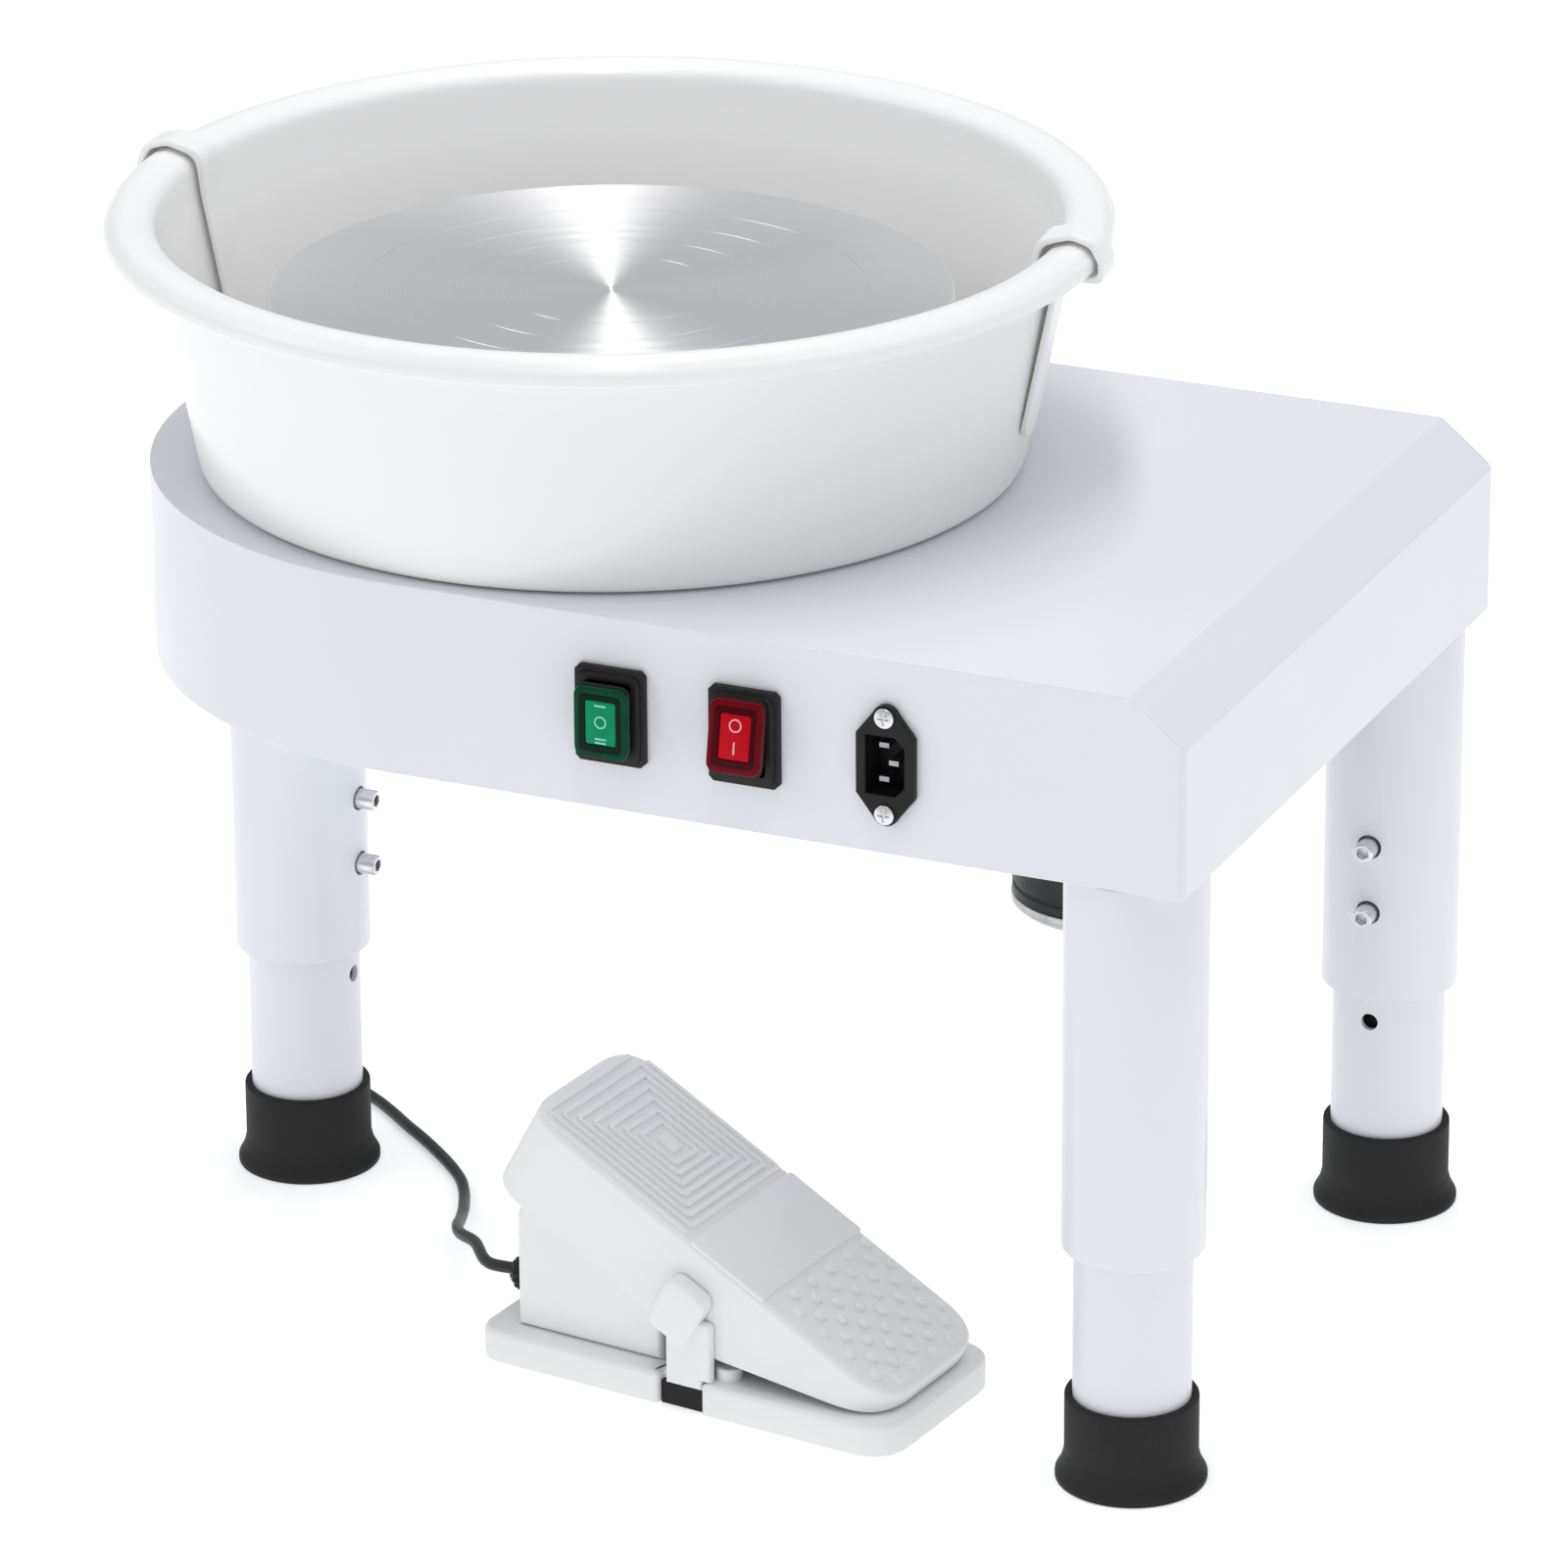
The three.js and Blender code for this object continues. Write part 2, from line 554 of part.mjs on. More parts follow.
// The housing of the speed control stands on the back of the base, under the treadle.
const HOUSE = { back: -83, front: -14, half: 35.5, shoulder: 66, crown: 76, toe: 60, wall: 3 };
const housePlan = (inset) =>
  roundedPlan(HOUSE.back + inset, HOUSE.front - inset, -HOUSE.half + inset, HOUSE.half - inset, 6 - inset, 4 - inset);
const houseSide = (inset) => polygon([
  [HOUSE.back - 1, PEDAL.base + GAP - (inset ? 2 : 0)],
  [HOUSE.front + 1, PEDAL.base + GAP - (inset ? 2 : 0)],
  [HOUSE.front + 1, HOUSE.toe - inset],
  [HOUSE.back + 8, HOUSE.crown - inset],
  [HOUSE.back - 1, HOUSE.shoulder - 1.5 - inset],
]);
const houseSolid = (inset) => overlap(
  prism(housePlan(inset), 0, 90, 4),
  sidePrism(houseSide(inset), -HOUSE.half, HOUSE.half),
);
add(pedal, "pedal_housing", minus(houseSolid(0), houseSolid(HOUSE.wall)), whitePlastic());

// The treadle is a hollow wedge. Its top slopes, and its ends are square to that slope.
const slope = rad(TREADLE.slope);
const topAt = (x) => TREADLE.topAtPivot - Math.tan(slope) * x;
const down = (x, depth) => [x - depth * Math.sin(slope), topAt(x) - depth * Math.cos(slope)];

function treadleSide(inset) {
  const t = inset;
  const low = inset ? 30 : 0; // the hollow opens through the underside
  return polygon([
    down(TREADLE.back + t, t),
    down(TREADLE.back + t, TREADLE.depth + low),
    [-10, 33.5 - low],
    [12, 24 - low],
    [84, 15.2 - low],
    [94 - t, 15.2 - low],
    down(TREADLE.front - 0.5 - t, t),
  ]);
}

function treadlePlan(inset) {
  const half = TREADLE.half - inset;
  const plan = roundedPlan(
    TREADLE.back / Math.cos(slope) + inset, TREADLE.front / Math.cos(slope) - inset, -half, half, 20 - inset, 22 - inset,
  );
  return prism(plan, -120, 20, 5).rotateY(slope).translate(0, 0, TREADLE.topAtPivot);
}

const treadleSolid = (inset) => overlap(
  sidePrism(treadleSide(inset), -TREADLE.half - 1, TREADLE.half + 1),
  treadlePlan(inset),
);
const pinHole = (r) => bar(r, [0, -60, PIVOT.z], [0, 60, PIVOT.z]);
add(pedal, "pedal_treadle", minus(
  treadleSolid(0),
  treadleSolid(TREADLE.wall),
  pinHole(PIVOT.pinR + GAP),
), whitePlastic());
add(pedal, "pedal_pivot_pin", bar(PIVOT.pinR, [0, -44.5, PIVOT.z], [0, 44.5, PIVOT.z]), steel());

// Each bracket stands beside the treadle and carries one end of the pin in its head.
const BRACKET = { inner: 40, outer: 44, head: 47.5, w: 20, h: 26 };

function pivotBracket(side) {
  const ends = (a, b) => (side < 0 ? [-b, -a] : [a, b]);
  const stem = sidePrism(polygon([
    [-7, 10.2],
    [STRIP.half - 0.2, 10.2],
    [STRIP.half - 0.2, PEDAL.base + GAP],
    [14, PEDAL.base + GAP],
    [14, 40],
    [-7, 40],
  ]), ...ends(BRACKET.inner, BRACKET.outer));
  const head = sidePrism(
    roundedPlan(-BRACKET.w / 2, BRACKET.w / 2, -BRACKET.h / 2, BRACKET.h / 2, 5, 5),
    ...ends(BRACKET.inner, BRACKET.head),
    4,
  );
  const tilted = head.rotateY(slope).translate(0, 0, PIVOT.z);
  const seat = ends(30, 45).map((y) => [0, y, PIVOT.z]);
  return minus(union(stem, tilted), bar(PIVOT.pinR + GAP, ...seat));
}

add(pedal, "pedal_bracket_near", pivotBracket(-1), whitePlastic());
add(pedal, "pedal_bracket_far", pivotBracket(1), whitePlastic());

// The speed sensor sits on the pivot pin and is held up from the base.
add(pedal, "pedal_speed_sensor", minus(
  union(
    bar(11, [0, -8, PIVOT.z], [0, 8, PIVOT.z]),
    block(-6, 6, -8, 8, PEDAL.base + GAP, PIVOT.z),
  ),
  pinHole(PIVOT.pinR + GAP),
), blackPlastic());

const EXIT = { y: -24, z: 32.8, length: 8.2 };
const reliefBack = HOUSE.back - GAP;
add(pedal, "pedal_cord_gland", revolve([
  [0, 0],
  [8, 0],
  [8, 4.5],
  [6.5, 7],
  [4, EXIT.length],
  [0, EXIT.length],
], 16).rotateY(-Math.PI / 2).translate(reliefBack, EXIT.y, EXIT.z), blackPlastic());

// ---- control cord between the body and the pedal ----------------------------------------------

add(machine, "body_cord_gland", disc(GLAND.r, BODY.bottom - GLAND.drop, BODY.bottom - GAP, 16)
  .translate(GLAND.x, GLAND.y, 0), blackPlastic());

// It drops behind the left leg, lies on the floor in an easy S and rises to the pedal's gland.
const pedalPoint = (x, y, z) => {
  const c = Math.cos(PEDAL.heading);
  const s = Math.sin(PEDAL.heading);
  return new THREE.Vector3(PEDAL.x + c * x - s * y, PEDAL.y + s * x + c * y, z);
};
const glandTip = HOUSE.back - GAP - EXIT.length - GAP;
const CORD_POINTS = [
  [-171, 45, 249.4],
  [-171, 45, 230],
  [-171.5, 46, 200],
  [-173, 48.5, 165],
  [-175.5, 52, 130],
  [-178.5, 56.5, 95],
  [-181, 61, 62],
  [-181, 65.5, 34],
  [-176, 68.5, 13],
  [-166, 68, 3.6],
  [-152, 62.5, 2.8],
  [-137, 52, 2.8],
  [-121.9, 39.6, 2.8],
  [-109, 29.5, 2.8],
  [-96.3, 18.6, 2.8],
  [-85.5, 8.5, 2.8],
  [-75.6, -2.5, 2.8],
  [-68.2, -14.5, 3.2],
  [-62.6, -26, 5],
  [-56, -40, 8.5],
  [-49, -57, 12.5],
  [-41, -76, 19],
  [-30, -95, 25.5],
  [-16, -110, 30.5],
].map(([x, y, z]) => new THREE.Vector3(x, y, z));
CORD_POINTS.push(pedalPoint(glandTip - 12, EXIT.y, EXIT.z - 0.4));
CORD_POINTS.push(pedalPoint(glandTip, EXIT.y, EXIT.z));

const cordPath = new THREE.CatmullRomCurve3(CORD_POINTS, false, "centripetal");
const cordSection = new THREE.Shape();
cordSection.absarc(0, 0, CORD_R, 0, 2 * Math.PI);
const CORD_STEPS = 52;
add(machine, "pedal_cord", new THREE.ExtrudeGeometry(cordSection, {
  steps: CORD_STEPS,
  curveSegments: 5,
  bevelEnabled: false,
  extrudePath: cordPath,
}), rubber());

// ---- the origin: middle of the footprint, on the floor -----------------------------------------

const hookReach = BASIN.lipR + SEAM.clear + SEAM.skin;
machine.position.x = (hookReach - BODY.end) / 2;
const wheel = new THREE.Group();
wheel.add(machine);

export default wheel;
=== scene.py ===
"""Looks of the pottery wheel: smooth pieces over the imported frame, materials, light and camera."""

import math

import bmesh
import bpy
from mathutils import Matrix, Vector


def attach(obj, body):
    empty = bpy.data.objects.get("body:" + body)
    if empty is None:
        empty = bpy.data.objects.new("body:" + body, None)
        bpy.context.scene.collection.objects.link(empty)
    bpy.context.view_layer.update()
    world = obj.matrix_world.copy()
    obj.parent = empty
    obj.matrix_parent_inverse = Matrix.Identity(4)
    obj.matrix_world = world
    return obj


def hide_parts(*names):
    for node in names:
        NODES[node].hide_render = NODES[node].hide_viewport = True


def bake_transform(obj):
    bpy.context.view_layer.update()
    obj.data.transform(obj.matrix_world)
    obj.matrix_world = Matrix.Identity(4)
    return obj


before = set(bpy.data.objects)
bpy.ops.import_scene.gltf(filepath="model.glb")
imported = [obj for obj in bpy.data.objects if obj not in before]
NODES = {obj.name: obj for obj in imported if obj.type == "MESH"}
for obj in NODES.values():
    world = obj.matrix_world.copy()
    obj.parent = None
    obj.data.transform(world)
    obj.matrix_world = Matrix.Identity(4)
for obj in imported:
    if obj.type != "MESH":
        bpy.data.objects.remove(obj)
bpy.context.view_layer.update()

# Sizes below are in millimetres from the wheel's axis. The row frame's origin is SHIFT from it.
SHIFT = -55.35
TURN = math.radians(4.5)
PANEL = Matrix(((1, 0, 0), (0, 0, -1), (0, 1, 0))).to_4x4()


def row(x, y, z):
    """A place in millimetres from the wheel's axis, as metres in the row frame."""
    return Vector(((x + SHIFT) / 1000, y / 1000, z / 1000))


# ---- camera ---------------------------------------------------------------------------------

def aim_camera():
    """A long lens above the front right corner, turned down on the machine."""
    azimuth, elevation, roll = (math.radians(a) for a in (23.7267, 21.196, -0.202))
    back = Vector((
        math.sin(azimuth) * math.cos(elevation),
        -math.cos(azimuth) * math.cos(elevation),
        math.sin(elevation),
    ))
    right = Vector((math.cos(azimuth), math.sin(azimuth), 0))
    up = back.cross(right)
    c, s = math.cos(roll), math.sin(roll)
    right, up = c * right + s * up, c * up - s * right
    data = bpy.data.cameras.new("camera")
    data.lens = 196.445
    data.sensor_width = 36
    data.shift_x, data.shift_y = -0.03817, -0.06413
    data.clip_end = 50
    camera = bpy.data.objects.new("camera", data)
    camera.matrix_world = Matrix.Translation((1.35857, -2.98353, 1.52027)) @ Matrix(
        (right, up, back)
    ).transposed().to_4x4()
    bpy.context.scene.collection.objects.link(camera)
    bpy.context.scene.camera = camera


aim_camera()


# ---- materials ------------------------------------------------------------------------------

class Graph:
    """A short way to lay nodes and join them."""

    def __init__(self, name):
        self.material = bpy.data.materials.new(name)
        self.material.use_nodes = True
        self.nodes = self.material.node_tree.nodes
        self.shader = self.nodes["Principled BSDF"]
        self.place = self.add("ShaderNodeTexCoord").outputs["Object"]

    def add(self, kind, inputs=(), **settings):
        node = self.nodes.new(kind)
        for key, value in settings.items():
            setattr(node, key, value)
        for key, value in dict(inputs).items():
            self.put(node.inputs[key], value)
        return node

    def put(self, socket, value):
        if isinstance(value, bpy.types.NodeSocket):
            self.material.node_tree.links.new(value, socket)
        else:
            socket.default_value = value

    def noise(self, scale, detail=3, vector=None):
        node = self.add("ShaderNodeTexNoise", {"Scale": scale, "Detail": detail})
        self.put(node.inputs["Vector"], vector or self.place)
        return node.outputs["Fac"]

    def ranged(self, value, low, high, start=0.3, end=0.7):
        node = self.add("ShaderNodeMapRange", {
            "Value": value, "From Min": start, "From Max": end, "To Min": low, "To Max": high,
        })
        return node.outputs["Result"]

    def mix(self, factor, a, b):
        node = self.add("ShaderNodeMix", data_type="RGBA")
        for index, value in ((0, factor), (6, a), (7, b)):
            self.put(node.inputs[index], value)
        return node.outputs[2]

    def bump(self, height, strength, distance, below=None):
        node = self.add("ShaderNodeBump", {"Height": height, "Strength": strength, "Distance": distance})
        if below is not None:
            self.put(node.inputs["Normal"], below)
        return node.outputs["Normal"]

    def finish(self, **sockets):
        for name, value in sockets.items():
            self.put(self.shader.inputs[name.replace("_", " ")], value)
        return self.material


def worn(name, light, dark, rough, grain, depth, extra=(), wear=0.35):
    """A surface with cloudy colour, uneven gloss and two sizes of grain."""
    g = Graph(name)
    clouds = g.ranged(g.noise(7, 2), 0, wear)
    specks = g.ranged(g.noise(grain * 0.4, 5), 0, 0.5, 0.62, 0.75)
    colour = g.mix(specks, g.mix(clouds, (*light, 1), (*dark, 1)), (*dark, 1))
    gloss = g.ranged(g.noise(30, 3), rough * 0.94, rough * 1.08)
    swell = g.bump(g.noise(16, 1), 0.04, 0.0006)
    normal = g.bump(g.noise(grain, 2), 0.25, depth, swell)
    return g.finish(Base_Color=colour, Roughness=gloss, Normal=normal, **dict(extra))


def turned_metal(name, light, dark, rough, aniso):
    """Metal turned on a lathe: fine rings round the axis and a stretched highlight."""
    g = Graph(name)
    flat = g.add("ShaderNodeVectorMath", {0: g.place, 1: (1, 1, 0)}, operation="MULTIPLY")
    radius = g.add("ShaderNodeVectorMath", {0: flat.outputs[0]}, operation="LENGTH").outputs["Value"]
    rings = g.add("ShaderNodeTexNoise", {"W": radius, "Scale": 2600, "Detail": 4}, noise_dimensions="1D")
    bands = g.add("ShaderNodeTexNoise", {"W": radius, "Scale": 190, "Detail": 3}, noise_dimensions="1D")
    smear = g.noise(14, 4)
    tone = g.ranged(rings.outputs["Fac"], 0, 0.7)
    haze = g.ranged(smear, 0, 0.2, 0.4, 0.7)
    colour = g.mix(haze, g.mix(tone, (*light, 1), (*dark, 1)), (*dark, 1))
    gloss = g.ranged(bands.outputs["Fac"], rough * 0.95, rough * 1.06)
    normal = g.bump(rings.outputs["Fac"], 0.03, 0.0002)
    tangent = g.add("ShaderNodeTangent", direction_type="RADIAL", axis="Z").outputs["Tangent"]
    return g.finish(
        Base_Color=colour, Roughness=gloss, Normal=normal, Tangent=tangent, Metallic=1.0,
        Anisotropic=aniso, Anisotropic_Rotation=0.25,
    )


def plated(name, light, dark, rough):
    """Bright plating with faint blotches and scratches."""
    g = Graph(name)
    stretch = g.add("ShaderNodeMapping", {"Vector": g.place, "Scale": (1, 1, 14)})
    scratch = g.noise(420, 4, stretch.outputs["Vector"])
    colour = g.mix(g.ranged(g.noise(160, 5), 0, 0.8), (*light, 1), (*dark, 1))
    gloss = g.ranged(scratch, rough * 0.7, rough * 1.4)
    normal = g.bump(scratch, 0.15, 0.0001, g.bump(g.noise(260, 2), 0.1, 0.0002))
    return g.finish(Base_Color=colour, Roughness=gloss, Normal=normal, Metallic=1.0)


def lens(name, deep, bright):
    """Clear coloured plastic over a lamp box."""
    g = Graph(name)
    cloud = g.ranged(g.noise(120, 3), 0, 0.6)
    colour = g.mix(cloud, (*deep, 1), (*bright, 1))
    gloss = g.ranged(g.noise(300, 4), 0.1, 0.2)
    normal = g.bump(g.noise(150, 2), 0.06, 0.0004)
    return g.finish(
        Base_Color=colour, Roughness=gloss, Normal=normal, Specular_IOR_Level=0.1,
    )


MATS = {
    "enamel": worn("white_enamel", (0.80, 0.817, 0.845), (0.775, 0.79, 0.815), 0.36, 1500, 0.00005,
                   {"Coat Weight": 0.25, "Coat Roughness": 0.2}, 0.25),
    # The basin's faint emission is painted light: a glow that lightens the shade inside the basin.
    "basin": worn("basin_plastic", (0.89, 0.886, 0.875), (0.875, 0.869, 0.855), 0.25, 900, 0.00004,
                  {"Subsurface Weight": 0.2, "Subsurface Scale": 0.004, "Subsurface Radius": (1, 1, 1),
                   "Emission Color": (1, 0.99, 0.97, 1), "Emission Strength": 0.02}, 0.3),
    "pedal": worn("pedal_plastic", (0.88, 0.88, 0.873), (0.85, 0.848, 0.84), 0.42, 1300, 0.00008, (), 0.3),
    "rubber": worn("black_rubber", (0.012, 0.012, 0.012), (0.03, 0.029, 0.028), 0.62, 1100, 0.00016,
                   {"Specular IOR Level": 0.22}, 0.6),
    "black": worn("black_plastic", (0.011, 0.0105, 0.01), (0.023, 0.022, 0.021), 0.38, 1500, 0.0001,
                  {"Specular IOR Level": 0.2}, 0.5),
    "motor": worn("motor_black", (0.02, 0.02, 0.022), (0.05, 0.05, 0.05), 0.4, 1300, 0.0001,
                  {"Specular IOR Level": 0.3}, 0.6),
    "cord": worn("cord_sheath", (0.014, 0.014, 0.015), (0.03, 0.03, 0.03), 0.46, 1800, 0.0001, (), 0.5),
    "head": turned_metal("turned_aluminium", (0.92, 0.915, 0.91), (0.78, 0.777, 0.772), 0.3, 0.9),
    "cast": plated("cast_aluminium", (0.62, 0.63, 0.64), (0.45, 0.46, 0.47), 0.42),
    "steel": plated("steel", (0.42, 0.43, 0.45), (0.28, 0.285, 0.30), 0.34),
    "zinc": plated("zinc_plating", (0.78, 0.79, 0.81), (0.58, 0.59, 0.60), 0.26),
    "green": lens("green_lens", (0.0, 0.045, 0.02), (0.0, 0.07, 0.033)),
    # green_shade and red_shade are painted shade: dark bands for the shadow inside each clear cap's rim.
    "green_shade": lens("green_shade", (0.0, 0.011, 0.006), (0.0, 0.018, 0.01)),
    "green_lamp": lens("green_lamp", (0.0, 0.25, 0.10), (0.0, 0.34, 0.145)),
    "green_mark": lens("green_mark", (0.30, 0.72, 0.62), (0.38, 0.80, 0.70)),
    "red": lens("red_lens", (0.125, 0.0, 0.005), (0.19, 0.001, 0.008)),
    "red_shade": lens("red_shade", (0.045, 0.0, 0.002), (0.07, 0.0, 0.003)),
    "red_lamp": lens("red_lamp", (0.5, 0.0, 0.007), (0.61, 0.002, 0.012)),
    "red_mark": lens("red_mark", (0.72, 0.42, 0.43), (0.80, 0.52, 0.53)),
}


# ---- shapes ---------------------------------------------------------------------------------

def fillet(points, closed=True, steps=4):
    """A polygon with each corner [x, y, radius] rounded off."""
    out = []
    count = len(points)
    for i, (x, y, r) in enumerate(points):
        here = Vector((x, y))
        if r <= 0 or (not closed and i in (0, count - 1)):
            out.append((x, y))
            continue
        a = Vector(points[i - 1][:2]) - here
        b = Vector(points[(i + 1) % count][:2]) - here
        reach = min(r / math.tan(a.angle(b) / 2), a.length * 0.49, b.length * 0.49)
        start, end = here + a.normalized() * reach, here + b.normalized() * reach
        for k in range(steps + 1):
            t = k / steps
            out.append(tuple((1 - t) ** 2 * start + 2 * t * (1 - t) * here + t * t * end))
    return out


def plan_box(w, h, r, x=0, y=0, steps=5):
    """A rounded rectangle about [x, y], anticlockwise."""
    corners = [(-1, -1), (1, -1), (1, 1), (-1, 1)]
    return fillet([(x + a * w / 2, y + b * h / 2, r) for a, b in corners], True, steps)


def circle(r, count=24, x=0, y=0):
    return [(x + r * math.cos(2 * math.pi * k / count), y + r * math.sin(2 * math.pi * k / count))
            for k in range(count)]


def inset(plan, d):
    """An anticlockwise polygon moved inwards by d."""
    out = []
    for i, p in enumerate(plan):
        p = Vector(p)
        a = (p - Vector(plan[i - 1])).normalized()
        b = (Vector(plan[(i + 1) % len(plan)]) - p).normalized()
        n = Vector((-a.y - b.y, a.x + b.x)).normalized()
        square = max(0.3, n.dot(Vector((-a.y, a.x))))
        out.append(tuple(p + n * (d / square)))
    return out


def loft(loops, cap=True):
    """Faces between loops of the same length, with the ends closed."""
    n = len(loops[0])
    verts = [tuple(p) for loop in loops for p in loop]
    faces = [
        (k * n + i, k * n + (i + 1) % n, (k + 1) * n + (i + 1) % n, (k + 1) * n + i)
        for k in range(len(loops) - 1) for i in range(n)
    ]
    if cap:
        faces.append(tuple(reversed(range(n))))
        faces.append(tuple(range((len(loops) - 1) * n, len(loops) * n)))
    return verts, faces


def soft_prism(plan, low, high, r_low=0.0, r_high=0.0, steps=4):
    """A plan raised from low to high, with rounded ends."""
    loops = []
    for k in range(steps + 1 if r_low else 1):
        a = math.pi / 2 * k / steps
        flat = inset(plan, r_low * (1 - math.sin(a)))
        loops.append([(x, y, low + r_low * (1 - math.cos(a))) for x, y in flat])
    for k in range(steps + 1 if r_high else 1):
        a = math.pi / 2 * k / steps
        flat = inset(plan, r_high * (1 - math.cos(a)))
        loops.append([(x, y, high - r_high * (1 - math.sin(a))) for x, y in flat])
    return loft(loops)


def lathe(profile, segments=72):
    """A closed [radius, z] profile turned about Z. Points on the axis become poles."""
    loops = []
    for k in range(segments):
        a = 2 * math.pi * k / segments
        loops.append([(r * math.cos(a), r * math.sin(a), z) for r, z in profile])
    verts, faces = loft(loops + [loops[0]], False)
    return verts, faces


def moved(shape, matrix):
    verts, faces = shape
    return [tuple(matrix @ Vector(v)) for v in verts], faces


def joined(*shapes):
    verts, faces = [], []
    for v, f in shapes:
        faces += [tuple(i + len(verts) for i in face) for face in f]
        verts += v
    return verts, faces


def raw(name, shape, origin=(0, 0, 0)):
    """A mesh object in place, with its seams welded and its faces turned outwards."""
    mesh = bpy.data.meshes.new(name)
    mesh.from_pydata([tuple(c / 1000 for c in v) for v in shape[0]], [], shape[1])
    bm = bmesh.new()
    bm.from_mesh(mesh)
    bmesh.ops.remove_doubles(bm, verts=bm.verts, dist=1e-6)
    bmesh.ops.dissolve_degenerate(bm, edges=bm.edges, dist=1e-7)
    bmesh.ops.recalc_face_normals(bm, faces=bm.faces)
    bm.to_mesh(mesh)
    bm.free()
    obj = bpy.data.objects.new(name, mesh)
    obj.location = row(*origin)
    bpy.context.scene.collection.objects.link(obj)
    bpy.context.view_layer.update()
    return obj


def smooth(obj, angle=34):
    """Smooth shading, with edges sharper than the angle kept sharp."""
    obj.data.shade_smooth()
    obj.data.set_sharp_from_angle(angle=math.radians(angle))


def soften(obj, width, segments=3, angle=34):
    """A bevel along the sharp edges, with even shading across it."""
    bevel = obj.modifiers.new("edges", "BEVEL")
    bevel.width = width / 1000
    bevel.segments = segments
    bevel.limit_method = "ANGLE"
    bevel.angle_limit = math.radians(angle)
    obj.modifiers.new("normals", "WEIGHTED_NORMAL").keep_sharp = False


def carve(obj, *cutters):
    """Takes the cutters out of obj and leaves a plain mesh."""
    for cutter in cutters:
        mod = obj.modifiers.new("cut", "BOOLEAN")
        mod.operation = "DIFFERENCE"
        mod.solver = "EXACT"
        mod.object = cutter
        depsgraph = bpy.context.evaluated_depsgraph_get()
        mesh = bpy.data.meshes.new_from_object(obj.evaluated_get(depsgraph))
        obj.modifiers.clear()
        obj.data = mesh
        bpy.data.objects.remove(cutter)


def dress(obj, mat, body, nodes=(), angle=34):
    """Material, shading, body and the CAD nodes that the piece stands for."""
    obj.data.materials.clear()
    obj.data.materials.append(MATS[mat])
    smooth(obj, angle)
    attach(obj, body)
    if nodes:
        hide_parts(*nodes)
    return obj


def piece(name, shape, mat, body, nodes=(), origin=(0, 0, 0), angle=34):
    """A finished mesh object: placed, coloured and riding its body."""
    return dress(raw(name, shape, origin), mat, body, nodes, angle)


# ---- control cord ----------------------------------------------------------------------------

PEDAL = Matrix.Translation((105.87, -118.28, 0)) @ Matrix.Rotation(math.radians(-7), 4, "Z")
CORD_R = 2.5
CORD = [
    (-171, 45, 249.4), (-171, 45, 230), (-171.5, 46, 200), (-173, 48.5, 165), (-175.5, 52, 130),
    (-178.5, 56.5, 95), (-181, 61, 62), (-181, 65.5, 34), (-176, 68.5, 13), (-166, 68, 3.6),
    (-152, 62.5, 2.8), (-137, 52, 2.8), (-121.9, 39.6, 2.8), (-109, 29.5, 2.8), (-96.3, 18.6, 2.8),
    (-85.5, 8.5, 2.8), (-75.6, -2.5, 2.8), (-68.2, -14.5, 3.2), (-62.6, -26, 5), (-56, -40, 8.5),
    (-49, -57, 12.5), (-41, -76, 19), (-30, -95, 25.5), (-16, -110, 30.5),
    tuple(PEDAL @ Vector((-103.8, -24, 32.4))), tuple(PEDAL @ Vector((-91.8, -24, 32.8))),
]


def centripetal(points, per=6):
    """Points along a smooth curve through the given ones."""
    ends = [2 * Vector(points[0]) - Vector(points[1]), *map(Vector, points),
            2 * Vector(points[-1]) - Vector(points[-2])]
    out = []
    for i in range(1, len(ends) - 2):
        quad = ends[i - 1:i + 3]
        t = [0.0]
        for a, b in zip(quad, quad[1:]):
            t.append(t[-1] + math.sqrt((b - a).length))
        for k in range(per):
            u = t[1] + (t[2] - t[1]) * k / per
            lerp = lambda a, b, ta, tb: a * ((tb - u) / (tb - ta)) + b * ((u - ta) / (tb - ta))
            a1, a2, a3 = (lerp(quad[j], quad[j + 1], t[j], t[j + 1]) for j in range(3))
            b1, b2 = lerp(a1, a2, t[0], t[2]), lerp(a2, a3, t[1], t[3])
            out.append(lerp(b1, b2, t[1], t[2]))
    return out + [Vector(points[-1])]


def fluted_nut(r, length, flutes=14):
    """A knurled nut along +Z with a tapered nose."""
    turns = [2 * math.pi * k / 84 for k in range(84)]
    section = [(r * (1 + 0.045 * math.cos(flutes * a)), a) for a in turns]
    rings = [(0, 0.9), (0.35, 0.98), (0.7, 1), (length * 0.52, 1), (length * 0.58, 0.93),
             (length * 0.62, 0.8), (length * 0.85, 0.7), (length * 0.97, 0.52), (length, 0.42)]
    return loft([
        [(share * s * math.cos(a), share * s * math.sin(a), z) for s, a in section] for z, share in rings
    ])


def make_gland(which):
    """The black nut where the cord enters the pedal or the body."""
    if which == "pedal":
        place = PEDAL @ Matrix.Translation((-83.3, -24, 32.8)) @ Matrix.Rotation(-math.pi / 2, 4, "Y")
        shape, body = moved(fluted_nut(7.6, 8.2), place), "stand"
    else:
        place = Matrix.Translation((-171, 45, 261.7)) @ Matrix.Rotation(math.pi, 4, "X")
        shape, body = moved(fluted_nut(6.6, 11.7), place), "frame"
    return piece(f"{which}_gland_nut", shape, "black", body, [f"{which}_cord_gland"])


